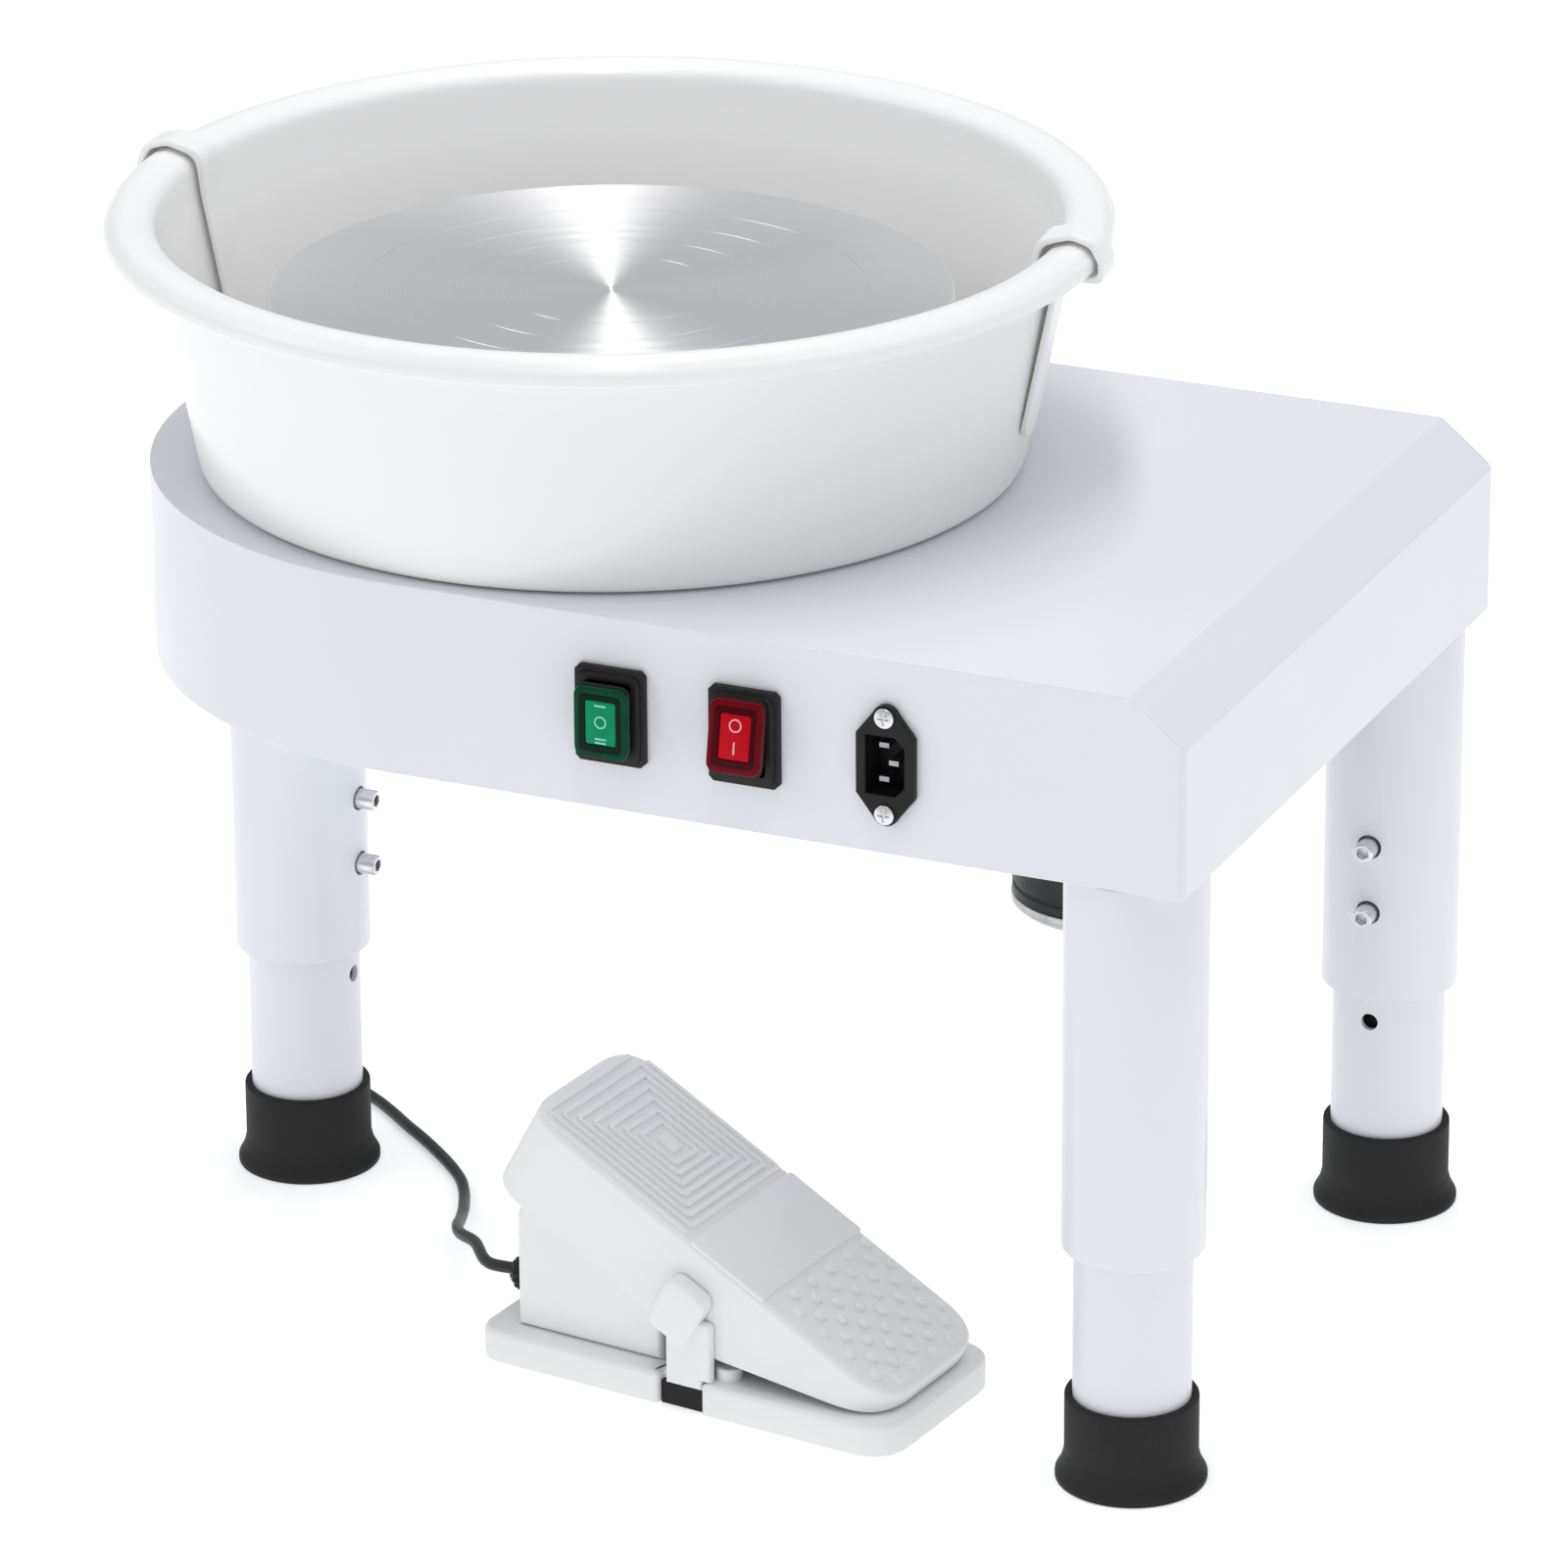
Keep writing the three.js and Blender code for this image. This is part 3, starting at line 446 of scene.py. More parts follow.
def make_cord():
    """The cord swept along its route from the stand to the frame, with its two nuts."""
    path = centripetal(CORD)
    side = Vector((1, 0, 0))
    loops = []
    for i, p in enumerate(path):
        along = (path[min(i + 1, len(path) - 1)] - path[max(i - 1, 0)]).normalized()
        side = (side - along * side.dot(along)).normalized()
        up = along.cross(side)
        loops.append([p + side * x + up * y for x, y in circle(CORD_R, 16)])
    cord = raw("control_cord", loft(loops))
    cord.data.materials.append(MATS["cord"])
    smooth(cord, 60)
    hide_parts("pedal_cord")
    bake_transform(cord)
    glands = [make_gland("pedal"), make_gland("body")]


make_cord()


# ---- splash basin ----------------------------------------------------------------------------

FOOT_R, FOOT_Z, TOP_R, TOP_Z, WALL = 169.3, 354.0, 185.6, 434.0, 3.0
LIP_R, LIP_TOP, LIP_LOW = 204.8, 452.0, 441.0
DRAFT = (TOP_R - FOOT_R) / (TOP_Z - FOOT_Z)
FRONT_EDGE, REAR_EDGE = 12, 12.3


def basin_profile():
    """Section of the basin, from the collar out along the floor, up the wall and over the lip."""
    mid = (LIP_R + TOP_R) / 2
    return fillet([
        (46, 343.2, 1), (FOOT_R - 0.6, 343.2, 5.5), (TOP_R, TOP_Z, 30), (TOP_R + 1.5, LIP_LOW + 1, 4),
        (mid, LIP_TOP - WALL - 0.7, 7), (LIP_R - WALL, LIP_LOW + 4, 3), (LIP_R - WALL, LIP_LOW, 0.9),
        (LIP_R, LIP_LOW, 1.2), (LIP_R, LIP_LOW + 5, 5), (LIP_R - 4, LIP_TOP - 1.5, 5), (mid, LIP_TOP, 9),
        (TOP_R - 1, LIP_TOP - 3.2, 8), (TOP_R - WALL, TOP_Z, 30), (FOOT_R - WALL, 346.2, 7),
        (49, 346.2, 2), (49, 366, 1), (46, 366, 1),
    ], True, 6)


def cut_ring(profile, edge, sign, segments=150):
    """The part of a turned ring on one side of the line y = edge."""
    loops = []
    for k in range(segments + 1):
        t = k / segments
        loop = []
        for r, z in profile:
            tip = math.asin(edge / r)
            a = (math.pi - tip) + t * (math.pi + 2 * tip) if sign < 0 else tip + t * (math.pi - 2 * tip)
            loop.append((r * math.cos(a), r * math.sin(a), z))
        loops.append(loop)
    return loft(loops)


def hood_curve(grow, low):
    """The basin's outside grown by a skin, from low on the outer wall over the lip to low inside."""
    mid, g = (LIP_R + TOP_R) / 2, grow
    outer = FOOT_R + g + (low - FOOT_Z) * DRAFT
    inner = outer - WALL - 2 * g
    return fillet([
        (outer, low, 0), (TOP_R + g, TOP_Z - 2, 8), (TOP_R + 1.5 + g, LIP_LOW + 1 - g, 3),
        (LIP_R - WALL - g, LIP_LOW - g, 1.5), (LIP_R + g - 0.05, LIP_LOW - g, 1.5 + g),
        (LIP_R + g - 0.05, LIP_LOW + 4, 5), (LIP_R - 3.5 + g, LIP_TOP - 2.5 + g, 6),
        (mid, LIP_TOP + g - 0.05, 9), (TOP_R - 1 - g, LIP_TOP - 4 + g, 8), (TOP_R - WALL - g, TOP_Z, 20),
        (inner, low, 0),
    ], False, 6)


def hook(side):
    """The rear half's hood over the front half's end, as slices along y."""
    slices = [(0.0, 3.0, 2.6), (0.25, 3.9, 2.2), (0.9, 4.45, 2.0), (3, 4.5, 2), (6, 4.5, 2), (9, 4.5, 2),
              (12, 4.5, 2), (12.3, 4.5, -0.4), (15, 4.5, -0.4), (17.2, 4.45, -0.4), (17.8, 3.8, -0.4),
              (18, 2.4, -0.4)]
    loops = []
    for y, outer, inner in slices:
        bend = 8.9 - math.sqrt(max(0.0, 81 - (y - 9) ** 2))
        low = 367 + max(0.0, bend)
        loop = []
        for r, z in hood_curve(outer, low) + list(reversed(hood_curve(inner, low))):
            loop.append((side * math.sqrt(r * r - y * y), y, z))
        loops.append(loop)
    return loft(loops)


def make_basin():
    """The two halves, split along a line that is turned from the body's long side."""
    profile = basin_profile()
    front = cut_ring(profile, FRONT_EDGE, -1)
    rear = joined(cut_ring(profile, REAR_EDGE, 1), hook(1), hook(-1))
    split = Matrix.Rotation(TURN, 4, "Z")
    piece("splash_basin_front", moved(front, split), "basin", "basin_front", ["basin_front"])
    piece("splash_basin_rear", moved(rear, split), "basin", "basin_rear", ["basin_rear"])


# ---- wheel -----------------------------------------------------------------------------------

def make_wheel():
    """The turned disc, with four fine grooves and a centre mark in its face."""
    top, r = 412.6, 140
    face = [(0.0001, top - 10), (r - 1.4, top - 10), (r, top - 8.6), (r, top - 1.4), (r - 0.5, top - 0.4),
            (r - 1.3, top), (r - 2.2, top)]
    for share in (0.748, 0.603, 0.456, 0.3055):
        g = share * r
        face += [(g + 1.2, top), (g + 0.32, top), (g + 0.14, top - 0.3), (g - 0.14, top - 0.3)]
        face += [(g - 0.32, top), (g - 1.2, top)]
    face += [(1.6, top), (1.1, top - 0.6), (0.0001, top - 0.9)]
    piece("wheel_head_disc", lathe(face, 192), "head", "wheel", ["wheel_head"], angle=25)


# ---- body ------------------------------------------------------------------------------------

BODY_HALF, BODY_BEND, BODY_END, BODY_LOW, BODY_TOP, SHEET = 174, -17.5, 320, 262, 342.5, 2.5
CHAMFER_RUN, CHAMFER_DROP = 23, 18.6
SWITCH_XS, SWITCH_Z = {"direction": 80.5, "power": 137.7}, 302.4
INLET_X, INLET_Z, INLET_SCREW_RISE = 197.5, 299.8, 20


def panel_cutter(x, z, half_w, half_h):
    """A block through the front sheet."""
    plan = [(x - half_w, -180), (x + half_w, -180), (x + half_w, -168), (x - half_w, -168)]
    return raw("cutter", soft_prism(plan, z - half_h, z + half_h))


def body_plan(margin, r):
    """The body from above: a half circle at one end and rounded corners of radius r at the other."""
    half, end, steps = BODY_HALF - margin, BODY_END - margin, 64
    turns = [math.pi * k / steps for k in range(steps + 1)]
    arc = [(BODY_BEND - half * math.sin(a), half * math.cos(a)) for a in turns]
    square = fillet([(BODY_BEND, -half, 0), (end, -half, r), (end, half, r), (BODY_BEND, half, 0)])
    return square[1:-1] + arc


def chamfered(plan, low, high, margin):
    """The plan raised, with the slope at its square end."""
    obj = raw("block", soft_prism(plan, low, high))
    normal = Vector((CHAMFER_DROP, 0, CHAMFER_RUN)).normalized()
    point = row(BODY_END - CHAMFER_RUN, 0, BODY_TOP) - normal * (margin / 1000) - obj.location
    bm = bmesh.new()
    bm.from_mesh(obj.data)
    parts = bm.verts[:] + bm.edges[:] + bm.faces[:]
    cut = bmesh.ops.bisect_plane(bm, geom=parts, plane_co=point, plane_no=normal, clear_outer=True)
    rim = [e for e in cut["geom_cut"] if isinstance(e, bmesh.types.BMEdge)]
    bmesh.ops.contextual_create(bm, geom=rim)
    bmesh.ops.recalc_face_normals(bm, faces=bm.faces)
    bm.to_mesh(obj.data)
    bm.free()
    return obj


def make_body():
    """The folded cover: one sheet thick, open below, with holes for the panel and the shaft."""
    shell = chamfered(body_plan(0, 4), BODY_LOW, BODY_TOP, 0)
    cutters = [chamfered(body_plan(SHEET, 1), BODY_LOW - 7, BODY_TOP - SHEET, SHEET)]
    cutters += [panel_cutter(x, SWITCH_Z, 11.5, 16) for x in SWITCH_XS.values()]
    cutters.append(panel_cutter(INLET_X, INLET_Z, 10.5, 14.5))
    cutters.append(raw("cutter", soft_prism(circle(26.3, 48), 330, 350)))
    carve(shell, *cutters)
    shell.name = "body_cover"
    soften(shell, 2.4, 4, 30)
    dress(shell, "enamel", "frame", ["body_shell"], 40)


# ---- legs ------------------------------------------------------------------------------------

LEGS = {"left": (-149.2, 0, 0), "front": (289.5, -144.8, 90), "back": (289.5, 144.8, -90)}
BOLT_ZS, SPARE_HOLE_Z = (141, 170.5), 89.4


def pointing(angle, z):
    """Local Z turned to the way the leg's bolts face, at a height."""
    turn = Matrix.Rotation(math.radians(angle), 4, "Z") @ Matrix.Rotation(math.pi / 2, 4, "Y")
    return Matrix.Translation((0, 0, z)) @ turn


def tube(outer, inner, low, high, soft):
    """Section of a tube with softened rims."""
    return fillet([(inner, low, soft), (outer, low, soft), (outer, high, soft), (inner, high, soft)], True, 3)


def drill(origin, angle, z, r):
    """A round cutter through one wall of a leg, on the bolts' side."""
    shape = moved(soft_prism(circle(r, 32), 15, 34), pointing(angle, z))
    return raw("drill", shape, origin)


def bolt(angle, z):
    """A socket cap screw: rounded rim and a six-sided recess."""
    body = lathe(fillet([
        (0.001, 24, 0), (4.35, 24, 0.2), (4.38, 36.4, 0.9), (2.5, 36.4, 0.2), (2.45, 32.4, 0), (0.001, 32, 0),
    ], True, 3), 36)
    six = []
    for x, y, z0 in body[0]:
        r = math.hypot(x, y)
        if 1 < r < 3 and z0 > 31:
            a = math.atan2(y, x)
            flat = math.cos(math.pi / 6) / math.cos((a % (math.pi / 3)) - math.pi / 6)
            x, y = x * flat * 1.08, y * flat * 1.08
        six.append((x, y, z0))
    return moved((six, body[1]), pointing(angle, z))


def make_leg(name, x, y, angle):
    """Sleeve, inner tube, rubber boot and the two bolts that clamp them."""
    origin = (x, y, 0)
    sleeve = raw(f"sleeve_{name}", lathe(tube(28.5, 26, 101.3, 261.7, 0.5), 72), origin)
    carve(sleeve, *(drill(origin, angle, z, 5.3) for z in BOLT_ZS))
    dress(sleeve, "enamel", "frame", [f"leg_sleeve_{name}"])
    inner = raw(f"tube_{name}", lathe(tube(23.7, 21.2, 8, 240, 0.4), 72), origin)
    carve(inner, *(drill(origin, angle, z, 3.7) for z in (SPARE_HOLE_Z, *BOLT_ZS)))
    dress(inner, "enamel", "stand", [f"leg_tube_{name}"])
    boot = fillet([
        (0.001, 0, 0), (30.4, 0, 0.8), (30.4, 2.6, 1.2), (28, 7, 3), (26.8, 12, 4), (26.8, 36.8, 1.2),
        (24, 36.8, 0.4), (24, 7.7, 0.3), (0.001, 7.7, 0),
    ], True, 4)
    piece(f"boot_{name}", lathe(boot, 72), "rubber", "stand", [f"foot_{name}"], origin)
    for i, z in enumerate(BOLT_ZS):
        nodes = [f"clamp_bolt_{name}_{i + 1}"]
        piece(f"bolt_{name}_{i + 1}", bolt(angle, z), "zinc", "frame", nodes, origin)


# ---- motor -----------------------------------------------------------------------------------

MOTOR_AT = (218, 0, 0)


def make_motor():
    can = [(0.001, 185.3, 0), (37.6, 185.3, 0.5), (37.6, 189, 0.6), (36.8, 189.6, 0.4), (36.8, 191.2, 0.4),
           (38, 191.8, 0.6), (38, 246, 0.6), (36.9, 246.6, 0.4), (36.9, 248.2, 0.4), (38, 248.8, 0.6),
           (38, 258.3, 0.8), (5.3, 258.3, 0.2), (5.3, 245, 0.1), (0.001, 245, 0)]
    piece("motor_case", lathe(fillet(can, True, 3), 72), "motor", "frame", ["motor_can"], MOTOR_AT)
    cap = [(0.001, 179.4, 0), (11, 179.4, 0.5), (12, 178, 0.5), (16, 178, 0.6), (17.4, 180, 0.5),
           (31, 180, 1), (34, 178.1, 1), (38, 181.5, 2), (38, 185, 0.5), (0.001, 185, 0)]
    piece("motor_cap", lathe(fillet(cap, True, 3), 72), "cast", "frame", ["motor_end_cap"], MOTOR_AT)


# ---- control panel ---------------------------------------------------------------------------

def on_panel(shape, x, z, out=174.3):
    """A shape drawn flat, with +Z as the way out of the panel, put on the panel."""
    return moved(shape, Matrix.Translation((x, -out, z)) @ PANEL)


def cut_corners(w, h, c):
    """A rectangle about [0, 0] with its corners cut off, anticlockwise."""
    w, h = w / 2, h / 2
    near = [(-w + c, -h), (w - c, -h), (w, -h + c), (w, h - c)]
    return near + [(w - c, h), (-w + c, h), (-w, h - c), (-w, -h + c)]


def frame_shape(outer, inner, low, high, soft):
    """A rectangular frame: outer and inner plans of the same length, with a soft front edge."""
    at = lambda plan, z: [(x, y, z) for x, y in plan]
    return loft([
        at(inner, low), at(outer, low), at(outer, high - soft),
        at(inset(outer, soft * 0.3), high - soft * 0.3), at(inset(outer, soft), high), at(inner, high),
        at(inner, low),
    ], False)


def switch_body(x, name):
    """Face plate, rubber rim and the case behind the panel."""
    plate = frame_shape(cut_corners(30, 40, 2), cut_corners(20.2, 30.2, 1), 0, 2.8, 0.5)
    boot = frame_shape(plan_box(27, 36, 4), plan_box(20, 30, 2), 2.3, 4.4, 1)
    core = frame_shape(plan_box(22, 31, 1), plan_box(20, 30, 1), -24, 0.2, 0.1)
    floor = soft_prism(plan_box(21, 30.5, 1), -24.2, -12)
    shape = joined(*(on_panel(s, x, SWITCH_Z) for s in (plate, boot, core, floor)))
    piece(f"{name}_switch_case", shape, "black", "frame", [f"{name}_switch_body"])


def ring_mark(r, width, y, z):
    return frame_shape(circle(r, 32, 0, y), circle(r - width, 32, 0, y), z - 0.3, z, 0.05)


def bar_mark(w, h, y, z):
    return soft_prism(plan_box(w, h, min(w, h) * 0.4, 0, y, 3), z - 0.3, z, 0, 0.05, 2)


def rocker(x, name, colour, tilt, marks):
    """Boot skin, clear cap, a dark band of painted shade inside the cap's rim, lamp box under it and the
    printed marks.
    """
    turn = Matrix.Translation((x, -170, SWITCH_Z)) @ Matrix.Rotation(tilt, 4, "X") @ PANEL
    stem = soft_prism(plan_box(19, 25, 2), -4, 13.2)
    skirt = soft_prism(plan_box(23, 31, 4), 12.3, 13.9, 0.3, 0.3)
    piece(f"{name}_stem", moved(joined(stem, skirt), turn), "black", f"{name}_rocker")
    cap = frame_shape(plan_box(22.9, 29.4, 4.4), plan_box(18, 24, 2.4), 13.7, 15.9, 0.9)
    floor = soft_prism(plan_box(19, 25, 2), 13.7, 14.3)
    # The shade ring is painted shade: a darker band under the cap's clear rim, where the lens's depth falls
    # into shadow.
    shade = frame_shape(plan_box(18.1, 24.1, 2.4), plan_box(13.4, 18.6, 1.3), 14, 15.75, 0.15)
    piece(f"{name}_shade", moved(shade, turn), f"{colour}_shade", f"{name}_rocker")
    piece(f"{name}_cap", moved(joined(cap, floor), turn), colour, f"{name}_rocker", [f"{name}_rocker"])
    lamp = soft_prism(plan_box(13.2, 18.4, 1.2), 14, 15.5, 0, 0.4)
    piece(f"{name}_lamp", moved(lamp, turn), f"{colour}_lamp", f"{name}_rocker")
    piece(f"{name}_marks", moved(joined(*marks), turn), f"{colour}_mark", f"{name}_rocker")


def make_switches():
    top = 15.62
    switch_body(SWITCH_XS["direction"], "direction")
    rocker(SWITCH_XS["direction"], "direction", "green", 0.0, [
        bar_mark(5, 0.7, 7.2, top), ring_mark(2.6, 0.6, 0.4, top), bar_mark(5, 0.7, -6.6, top),
        bar_mark(5, 0.7, -8.2, top),
    ])
    switch_body(SWITCH_XS["power"], "power")
    rocker(SWITCH_XS["power"], "power", "red", -math.radians(11), [
        ring_mark(2.7, 0.6, 4.6, top), bar_mark(0.75, 5, -4.4, top),
    ])


def screw_head(r, height, slot):
    """A pan head with a cross recess, facing +Z."""
    head = raw("screw", lathe(fillet([
        (0.001, 0, 0), (r, 0, 0.15), (r, height * 0.45, r * 0.35), (0.001, height, 0),
    ], True, 5), 40))
    for w, h in ((slot, r * 1.25), (r * 1.25, slot)):
        cutter = raw("slot", soft_prism(plan_box(w, h, 0.05), height * 0.35, height + 1))
        carve(head, cutter)
    return head


def make_screws():
    """Two screws in the mains inlet and four under the body."""
    for i, side in enumerate((-1, 1)):
        head = screw_head(4.1, 1.8, 0.9)
        head.name = f"inlet_screw_head_{i + 1}"
        head.data.transform(PANEL)
        head.location = row(INLET_X, -177.6, INLET_Z + side * INLET_SCREW_RISE)
        dress(head, "zinc", "frame", [f"inlet_screw_{i + 1}"])
    for i, (x, y) in enumerate(((-60, -150), (-60, 150), (205, -150), (205, 150))):
        head = screw_head(5, 2.5, 1.1)
        head.name = f"plate_screw_head_{i + 1}"
        head.data.transform(Matrix.Rotation(math.pi, 4, "X"))
        head.location = row(x, y, 261.7)
        dress(head, "zinc", "frame", [f"plate_screw_{i + 1}"])


def inlet_plan():
    """Outline of the inlet's flange, with a lobe at each end for its screw."""
    right = [(12.35, -12.4), (12.35, 12.4)]
    turns = [math.radians(20 + 20 * k) for k in range(8)]
    lobe = [(5.6 * math.cos(a), 19.6 + 5.4 * math.sin(a)) for a in turns]
    low = [(-x, -y) for x, y in lobe]
    return right + lobe + [(-12.35, 12.4), (-12.35, -12.4)] + low


def make_inlet():
    """The screwed flange and the socket behind it, with one hollow through both."""
    flange = raw("inlet_flange", on_panel(soft_prism(inlet_plan(), 0, 3, 0, 0.7), INLET_X, INLET_Z))
    core = raw("cutter", on_panel(soft_prism(plan_box(20, 28, 2), -22, 1), INLET_X, INLET_Z))
    mouth = [(-8.25, -12.25), (4.25, -12.25), (8.25, -8.25), (8.25, 8.25), (4.25, 12.25), (-8.25, 12.25)]
    for solid in (flange, core):
        carve(solid, raw("cutter", on_panel(soft_prism(mouth, -12, 5), INLET_X, INLET_Z)))
    soften(flange, 0.35, 2, 40)
    dress(flange, "black", "frame", ["inlet_housing"])
    core.name = "inlet_socket"
    dress(core, "black", "frame")


# ---- pedal -----------------------------------------------------------------------------------

SLOPE, TOP_OF_TREADLE = math.radians(28.2), 73.6
TILT = PEDAL @ Matrix.Translation((0, 0, TOP_OF_TREADLE)) @ Matrix.Rotation(SLOPE, 4, "Y")
SCALE = 1 / math.cos(SLOPE)
BACK, FRONT, HALF = -75 * SCALE, 95 * SCALE, 39.5
BACK_CORNER_R, FRONT_CORNER_R = 20, 22


def treadle_depth(s):
    """How far the skirt hangs below the top at a place along the slope."""
    line = []
    for x, z in ((-10, 33.5), (12, 24), (84, 15.2), (94, 15.2)):
        fall = z - TOP_OF_TREADLE
        line.append((x * math.cos(SLOPE) - fall * math.sin(SLOPE),
                     -x * math.sin(SLOPE) - fall * math.cos(SLOPE)))
    line.insert(0, (BACK, 40))
    for (s0, d0), (s1, d1) in zip(line, line[1:]):
        if s <= s1:
            return d0 + (d1 - d0) * max(0.0, (s - s0) / (s1 - s0))
    return line[-1][1]


def treadle_plan():
    """Outline of the treadle along its slope, with its straight sides cut into short lengths."""
    plan = fillet([
        (BACK, -HALF, BACK_CORNER_R), (FRONT, -HALF, FRONT_CORNER_R), (FRONT, HALF, FRONT_CORNER_R),
        (BACK, HALF, BACK_CORNER_R),
    ], True, 10)
    out = []
    for (x0, y0), (x1, y1) in zip(plan, plan[1:] + plan[:1]):
        parts = max(1, int(math.hypot(x1 - x0, y1 - y0) / 6))
        out += [(x0 + (x1 - x0) * k / parts, y0 + (y1 - y0) * k / parts) for k in range(parts)]
    return out


def inside_treadle(s, q, margin):
    """True if a point of the top is further than margin from its outline."""
    r = BACK_CORNER_R if s < 0 else FRONT_CORNER_R
    ds = max(0.0, abs(s - (BACK + FRONT) / 2) - ((FRONT - BACK) / 2 - r))
    dq = max(0.0, abs(q) - (HALF - r))
    return math.hypot(ds, dq) < r - margin


def make_pedal_stand():
    """The base with its notches and posts, the housing, and the two pivot brackets."""
    quarter = [(-10.3, 45, 2.5), (-10.3, 39.5, 0.8), (10.3, 39.5, 0.8), (10.3, 45, 2.5)]
    plan = fillet([
        (-97.5, -45, 12), *((x, -y, r) for x, y, r in quarter), (97.5, -45, 18), (97.5, 45, 18),
        *reversed(quarter), (-97.5, 45, 12),
    ], True, 8)
    base = raw("pedal_foot", moved(soft_prism(plan, 0, 14, 0.8, 2.4, 5), PEDAL))
    groove = soft_prism([(-10.3, -60), (10.3, -60), (10.3, 60), (-10.3, 60)], -1, 10)
    carve(base, raw("cutter", moved(groove, PEDAL)))
    dress(base, "pedal", "stand", ["pedal_base"])
    post = fillet([(0.001, 12, 0), (5.5, 12, 0), (5.5, 19.5, 1.2), (0.001, 19.5, 0)], True, 5)
    posts = [moved(lathe(post, 32), PEDAL @ Matrix.Translation((17, side * 33.5, 0))) for side in (-1, 1)]
    piece("pedal_posts", joined(*posts), "pedal", "stand")
    side_view = fillet([(-83, 14.3, 0), (-14, 14.3, 0), (-14, 60, 4), (-75, 76, 5), (-83, 64.5, 5)], True, 5)
    case = moved(soft_prism(side_view, -35.5, 35.5, 3, 3, 5), PEDAL @ PANEL)
    piece("pedal_case", case, "pedal", "stand", ["pedal_housing"])
    stem_plan = fillet([(-7, 10.2, 0), (9.8, 10.2, 0), (9.8, 14.3, 0), (14, 14.3, 0), (14, 40, 3),
                        (-7, 40, 3)], True, 4)
    tilt = Matrix.Translation((0, 0, 44)) @ Matrix.Rotation(SLOPE, 4, "Y") @ PANEL
    for name, side in (("near", 1), ("far", -1)):
        mirror = PEDAL @ Matrix.Diagonal((1, side, 1, 1))
        stem = moved(soft_prism(stem_plan, 40, 44, 0.3, 1.5), mirror @ PANEL)
        boss = moved(soft_prism(plan_box(20, 26, 6), 40, 47.5, 0.3, 2.6, 5), mirror @ tilt)
        piece(f"pivot_boss_{name}", joined(stem, boss), "pedal", "stand", [f"pedal_bracket_{name}"])


def make_treadle():
    """The treadle's shell: a rounded top, a skirt that follows treadle_depth, and a hollow underside."""
    plan = treadle_plan()
    rounding = [(3.0, 0.0), (1.9, 0.12), (0.9, 0.6), (0.25, 1.4), (0.0, 2.6)]
    loops = [[(s, q, -d) for s, q in inset(plan, margin)] for margin, d in rounding]
    for share in (0.35, 0.7, 1.0):
        loops.append([(s, q, -2.6 - (treadle_depth(s) - 2.6) * share) for s, q in plan])
    inner = inset(plan, 2.5)
    loops.append([(s, q, -treadle_depth(s)) for s, q in inner])
    loops.append([(s, q, -4.0) for s, q in inner])
    piece("treadle_shell", moved(loft(loops), TILT), "pedal", "treadle", ["pedal_treadle"])


def rib(a, b, width=1.5, height=1.0):
    """A low rounded bar on the treadle's top between two points."""
    (s0, q0), (s1, q1) = a, b
    length = math.hypot(s1 - s0, q1 - q0)
    shape = soft_prism(plan_box(length, width, 0.6, steps=2), -0.4, height, 0, 0.5, 2)
    turn = Matrix.Rotation(math.atan2(q1 - q0, s1 - s0), 4, "Z")
    return moved(shape, Matrix.Translation(((s0 + s1) / 2, (q0 + q1) / 2, 0)) @ turn)


def clipped(a, b, margin=1.3, steps=90):
    """The part of a line that lies on the treadle's top, or None."""
    points = [(a[0] + (b[0] - a[0]) * k / steps, a[1] + (b[1] - a[1]) * k / steps) for k in range(steps + 1)]
    kept = [p for p in points if inside_treadle(p[0], p[1], margin)]
    if len(kept) < 4:
        return None
    return kept[0], kept[-1]


def treadle_ribs():
    """A pad behind the middle, with nested rectangles of ribs round it out to the edges."""
    s0, q0, half_s, half_q = -33 * SCALE, 2.5, 4.6, 3.6
    shapes = [moved(soft_prism(plan_box(2 * half_s, 2 * half_q, 0.8), -0.4, 1.2, 0, 0.4),
                    Matrix.Translation((s0, q0, 0)))]
    for k in range(1, 9):
        back, front, side = half_s + 5.3 * k, half_s + 4.35 * k, half_q + 4.3 * k
        low, high = (s0 - back, s0 + front), (q0 - side, q0 + side)
        corners = [(low[0], high[0]), (low[1], high[0]), (low[1], high[1]), (low[0], high[1])]
        for a, b in zip(corners, corners[1:] + corners[:1]):
            along = a[1] == b[1]
            if max(a[0], b[0]) > -1.4 and not along:
                continue
            line = clipped(*((min(p[0], -1.2), p[1]) for p in (a, b)))
            if line:
                shapes.append(rib(*line, 1.9 if along else 2.3, 1.25))
    return shapes


def treadle_dots():
    """Low round studs in staggered rows over the front of the treadle."""
    stud = lathe([(0.001, -0.3), (2.8, -0.3), (2.75, 0.7), (2.3, 1.6), (1.4, 2.1), (0.001, 2.3)], 20)
    shapes = []
    for i in range(9):
        for j in range(7):
            s = (41 + 6.0 * i) * SCALE
            q = -37 + 14.1 * j + (7.05 if i % 2 else 0)
            if inside_treadle(s, q, 4.2):
                shapes.append(moved(stud, Matrix.Translation((s, q, 0))))
    return shapes


def make_tread():
    """The ribs, the plain band and the studs on the treadle's top."""
    piece("treadle_ribs", moved(joined(*treadle_ribs()), TILT), "pedal", "treadle")
    piece("treadle_studs", moved(joined(*treadle_dots()), TILT), "pedal", "treadle")
    length, middle = 33.8 * SCALE, 19.1 * SCALE
    band = soft_prism(plan_box(length, 78.2, 1.2, middle), -0.5, 1.2, 0, 0.9)
    piece("treadle_band", moved(band, TILT), "pedal", "treadle")


# ---- CAD nodes that show as they are ------------------------------------------------------------

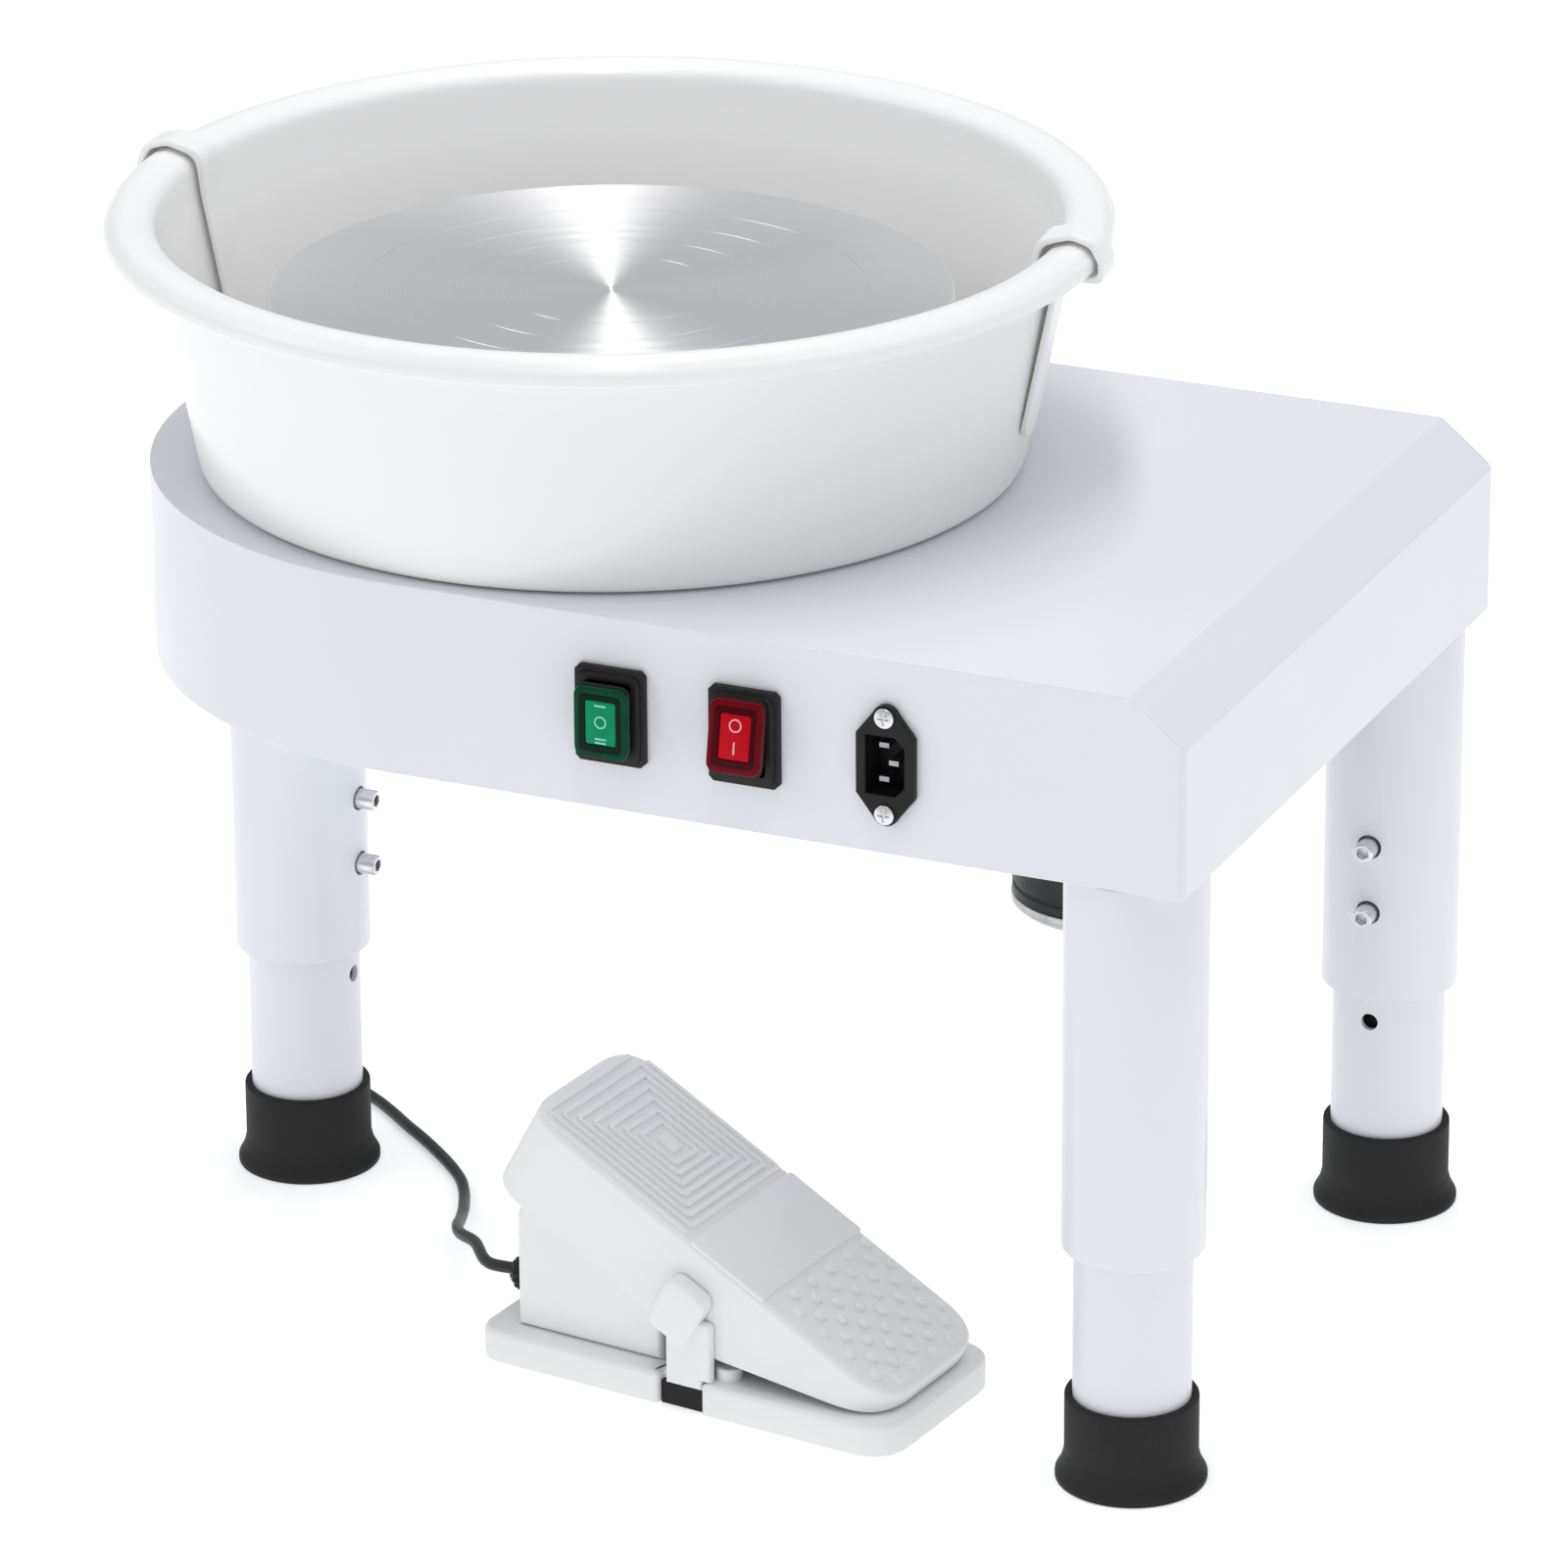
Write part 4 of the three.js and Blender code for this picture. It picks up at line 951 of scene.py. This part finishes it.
KEPT = {
    "cast": ("wheel_hub", "wheel_pulley", "bearing_housing", "motor_pulley", "controller_box"),
    "steel": ("inlet_pin_live", "inlet_pin_earth", "inlet_pin_neutral", "wheel_shaft", "bearing_lower",
              "bearing_upper", "motor_bracket", "motor_shaft", "pedal_pivot_pin"),
    "rubber": ("drive_belt", "pedal_rubber_strip"),
    "black": ("pedal_speed_sensor",),
    "enamel": ("bottom_plate",),
}
SOFT = {"pedal_rubber_strip": 0.8, "bottom_plate": 0.3}


def dress_kept():
    """Material and softened edges for the CAD nodes that nothing replaces."""
    for mat, names in KEPT.items():
        for name in names:
            node = NODES[name]
            node.data.materials.clear()
            node.data.materials.append(MATS[mat])
            smooth(node)
            soften(node, SOFT.get(name, 0.4), 3)


# ---- light and floor -----------------------------------------------------------------------------

def area(name, place, target, size, power, spin=0.0):
    data = bpy.data.lights.new(name, "AREA")
    data.shape = "RECTANGLE"
    data.size, data.size_y = size
    data.energy = power
    light = bpy.data.objects.new(name, data)
    light.location = place
    aim = (Vector(target) - Vector(place)).to_track_quat("-Z", "Y")
    light.rotation_euler = (aim @ Matrix.Rotation(spin, 3, "Z").to_quaternion()).to_euler()
    bpy.context.scene.collection.objects.link(light)


def make_studio():
    scene = bpy.context.scene
    scene.view_settings.view_transform = "Standard"
    world = bpy.data.worlds.new("studio")
    scene.world = world
    world.use_nodes = True
    world.node_tree.nodes["Background"].inputs["Color"].default_value = (0.93, 0.95, 1, 1)
    world.node_tree.nodes["Background"].inputs["Strength"].default_value = 0.56
    area("key", (-2.3, -1.5, 2.1), (0, 0, 0.25), (1.4, 1.4), 9)
    area("strip", (-0.05, 0.1, 2.1), (-0.05, 0.1, 0), (0.3, 2.4), 15, math.radians(23.7))
    area("fill", (2.2, -1.4, 1.0), (0, 0, 0.25), (1.6, 1.6), 0.8)
    area("overhead", (0.9, 0.3, 2.15), (0, 0, 0.34), (1.6, 1.6), 6)
    g = Graph("floor_paint")
    tone = g.mix(g.ranged(g.noise(3, 3), 0, 0.5), (0.93, 0.93, 0.93, 1), (0.90, 0.90, 0.90, 1))
    g.finish(
        Base_Color=tone, Roughness=g.ranged(g.noise(12, 3), 0.55, 0.7),
        Normal=g.bump(g.noise(60), 0.05, 0.0005), Emission_Color=(1, 1, 1, 1), Emission_Strength=0.46,
    )
    mesh = bpy.data.meshes.new("studio_floor")
    rim = [(x, y, -0.0002) for x, y in circle(14, 64)]
    mesh.from_pydata(rim, [], [tuple(range(64))])
    mesh.materials.append(g.material)
    floor = bpy.data.objects.new("studio_floor", mesh)
    scene.collection.objects.link(floor)


make_basin()
make_wheel()
make_body()
for leg, (leg_x, leg_y, leg_angle) in LEGS.items():
    make_leg(leg, leg_x, leg_y, leg_angle)
make_motor()
make_switches()
make_screws()
make_inlet()
make_pedal_stand()
make_treadle()
make_tread()
dress_kept()
make_studio()
